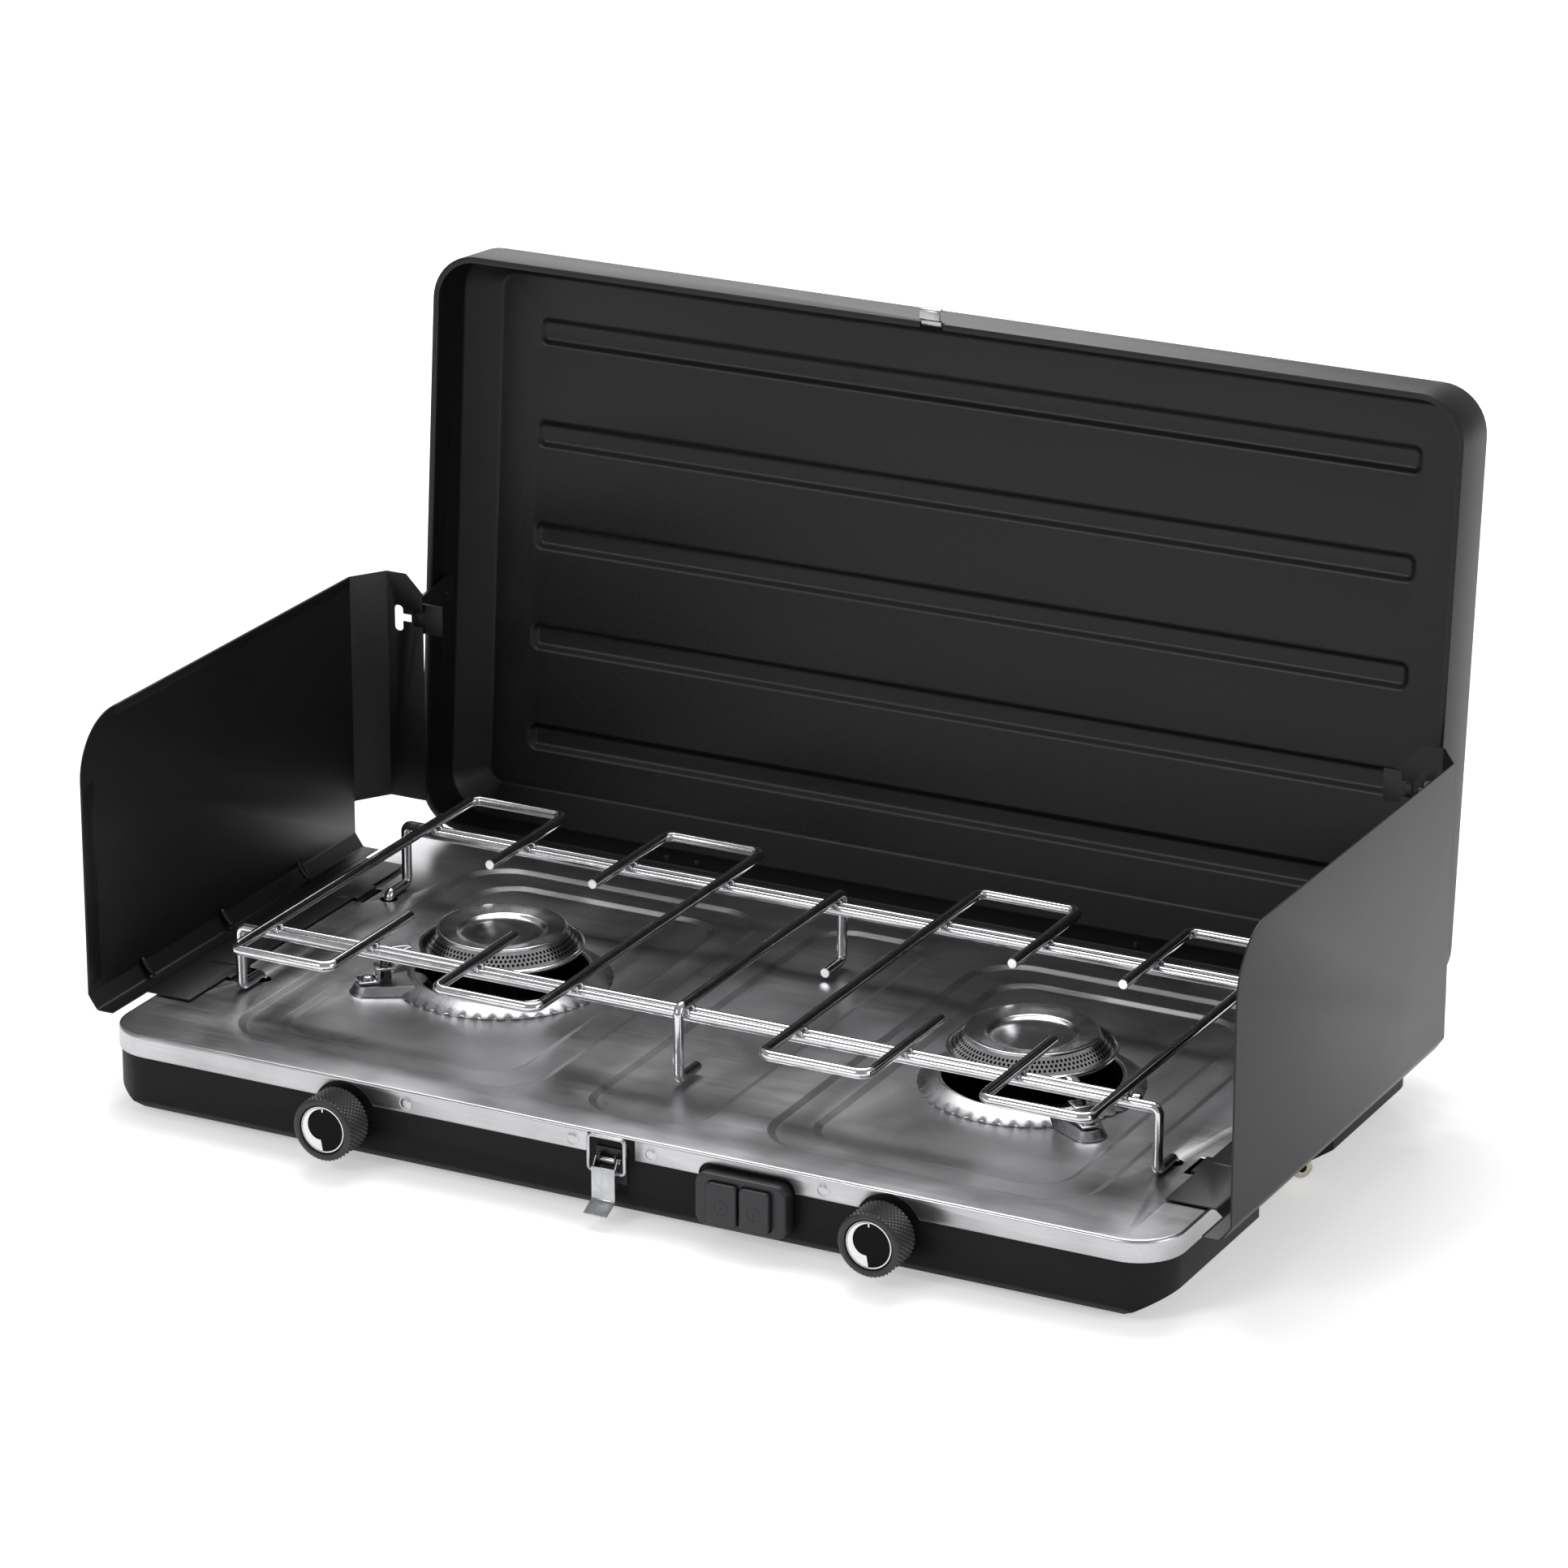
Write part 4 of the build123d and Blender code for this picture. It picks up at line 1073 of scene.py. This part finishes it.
@dataclass
class Igniter:
    """The igniter: a soft-cornered bezel, two push buttons and a spark sign on each."""

    sign_r: float = 3.1
    line: float = 0.28
    rise: float = 0.12
    drop: float = 1.5
    bolt: tuple[Point, ...] = ((0.35, 0.75, 24.0), (-0.35, -0.75, 24.0), (0.0, 0.0, -62.0))

    def build(self) -> None:
        """Make the bezel, the buttons and their signs."""
        softened("igniter_bezel", MOULDED_GREY, 0.3)
        for side in SIDES:
            node = f"igniter_button_{side}"
            softened(node, MOULDED_GREY, 0.25)
            front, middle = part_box(node)[0].y / MM, middle_of(node)
            height, edge = middle.z - self.drop, self.sign_r + self.line
            sign = Work(f"spark_sign_{side}")
            sign.turned([(self.sign_r, -self.rise), (edge, -self.rise), (edge, 0.05), (self.sign_r, 0.05)],
                        (middle.x, front, height), TOWARDS_BACK, 40)
            for dx, dz, lean in self.bolt:
                turn = (Matrix.Translation((middle.x + dx, front, height + dz))
                        @ Matrix.Rotation(math.radians(lean), 4, "Y"))
                sign.slab((-0.16, -self.rise, -0.85), (0.16, 0.05, 0.85), turn=turn)
            sign.place(node, MOULDED_GREY)


@dataclass
class Latch:
    """The front latch: bracket, pin, lever and wire bail."""

    wire_r: float = 0.9
    bend: float = 1.8

    def build(self) -> None:
        """Make the latch's pieces."""
        softened("latch_bracket", BLACK_FITTING, 0.2)
        softened("latch_pin", ZINC, 0.15)
        softened("latch_lever", ZINC, 0.18)
        low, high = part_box("latch_bail")
        left, right = low.x / MM + self.wire_r, high.x / MM - self.wire_r
        foot, top = low.z / MM + self.wire_r, high.z / MM - self.wire_r
        y = (low.y + high.y) / 2 / MM
        Work("latch_wire_bail").wire(
            [(-0.3, y, foot), (left, y, foot), (left, y, top), (right, y, top), (right, y, foot),
             (0.3, y, foot)], self.wire_r, self.bend, 14,
        ).place("latch_bail", ZINC, "latch_bail")


@dataclass(frozen=True)
class HiddenParts:
    """The pieces inside the case that keep their CAD shapes and get their own finishes."""

    finishes: tuple[tuple[str, Finish], ...] = (
        # the mixer tubes take the dark steel that is painted shade inside the case
        ("mixer_tube", DARK_STEEL_PAINTED_SHADE), ("gas_valve", PLATED_BRASS), ("valve_stem", ZINC),
        ("gas_jets", PLATED_BRASS), ("gas_manifold", PLATED_BRASS), ("piezo_units", MOULDED_BLACK),
        ("hinge_pins", ZINC),
    )

    def build(self) -> None:
        """Give each node its finish."""
        for name, node in frame["nodes"].items():
            for start, finish in self.finishes:
                if name.startswith(start):
                    node.data.materials.clear()
                    node.data.materials.append(finish.material())
                    LOG.info("%s: %s", name, finish.name)


# ------------------------------------------------------------------ studio
@dataclass
class Studio:
    """A plain pale floor, soft lights and the camera, in metres."""

    target: Point = (0.011, 0.0, 0.1546)
    azimuth: float = 27.38
    elevation: float = 20.22
    distance: float = 2.9101
    lens: float = 151.98

    def build(self) -> None:
        """Set the camera, the floor and the lights."""
        self._camera()
        self._floor()
        self._lights()

    def _camera(self) -> None:
        """Stand the camera at its viewing angle."""
        a, e = math.radians(self.azimuth), math.radians(self.elevation)
        aim = Vector(self.target)
        away = Vector((math.sin(a) * math.cos(e), -math.cos(a) * math.cos(e), math.sin(e)))
        data = bpy.data.cameras.new("camera")
        data.lens = self.lens
        data.sensor_width, data.sensor_fit = 36.0, "HORIZONTAL"
        data.clip_end = 30.0
        camera = bpy.data.objects.new("camera", data)
        camera.location = aim + away * self.distance
        camera.rotation_euler = (-away).to_track_quat("-Z", "Y").to_euler()
        bpy.context.scene.collection.objects.link(camera)
        bpy.context.scene.camera = camera

    def _floor(self) -> None:
        """Lay the pale floor."""
        mesh = bpy.data.meshes.new("floor")
        bm = bmesh.new()
        bmesh.ops.create_grid(bm, x_segments=1, y_segments=1, size=12.0)
        bm.to_mesh(mesh)
        bm.free()
        material = bpy.data.materials.new("paper_white_matt")
        material.use_nodes = True
        shader = material.node_tree.nodes["Principled BSDF"]
        shader.inputs["Base Color"].default_value = linear("f2f2f2")
        shader.inputs["Roughness"].default_value = 0.9
        shader.inputs["Emission Color"].default_value = linear("ffffff")
        shader.inputs["Emission Strength"].default_value = 0.42
        mesh.materials.append(material)
        floor = bpy.data.objects.new("floor", mesh)
        bpy.context.scene.collection.objects.link(floor)

    def _lights(self) -> None:
        """Hang the soft boxes and light the room."""
        world = bpy.data.worlds.new("room")
        bpy.context.scene.world = world
        world.use_nodes = True
        back = world.node_tree.nodes["Background"]
        back.inputs["Color"].default_value = linear("f4f5f6")
        back.inputs["Strength"].default_value = 0.42
        bpy.context.scene.view_settings.view_transform = "Standard"
        for name, place, size, power in (
            ("top_box", (-0.5, 0.9, 2.1), 1.5, 40.0),
            ("front_box", (-0.9, -2.2, 1.5), 0.9, 16.0),
            ("right_box", (2.2, -0.2, 0.9), 1.2, 14.0),
            ("rear_box", (-1.3, 2.4, 1.15), 1.1, 8.0),
        ):
            data = bpy.data.lights.new(name, "AREA")
            data.size, data.energy = size, power
            lamp = bpy.data.objects.new(name, data)
            lamp.location = place
            lamp.rotation_euler = (Vector(self.target) - Vector(place)).to_track_quat("-Z", "Y").to_euler()
            bpy.context.scene.collection.objects.link(lamp)


def main() -> None:
    """Build the studio and every sub-assembly in order."""
    logging.basicConfig(level=logging.INFO, format="%(name)s %(message)s")
    Studio().build()
    Casing().build()
    burners = [Burner(side) for side in SIDES]
    for burner in burners:
        burner.build()
    EarScrews().build(burners)
    PotSupport().build()
    Lid().build()
    for side in SIDES:
        Windscreen(side).build()
        Knob(side).build()
    Igniter().build()
    Latch().build()
    HiddenParts().build()


if __name__ == "__main__":
    main()
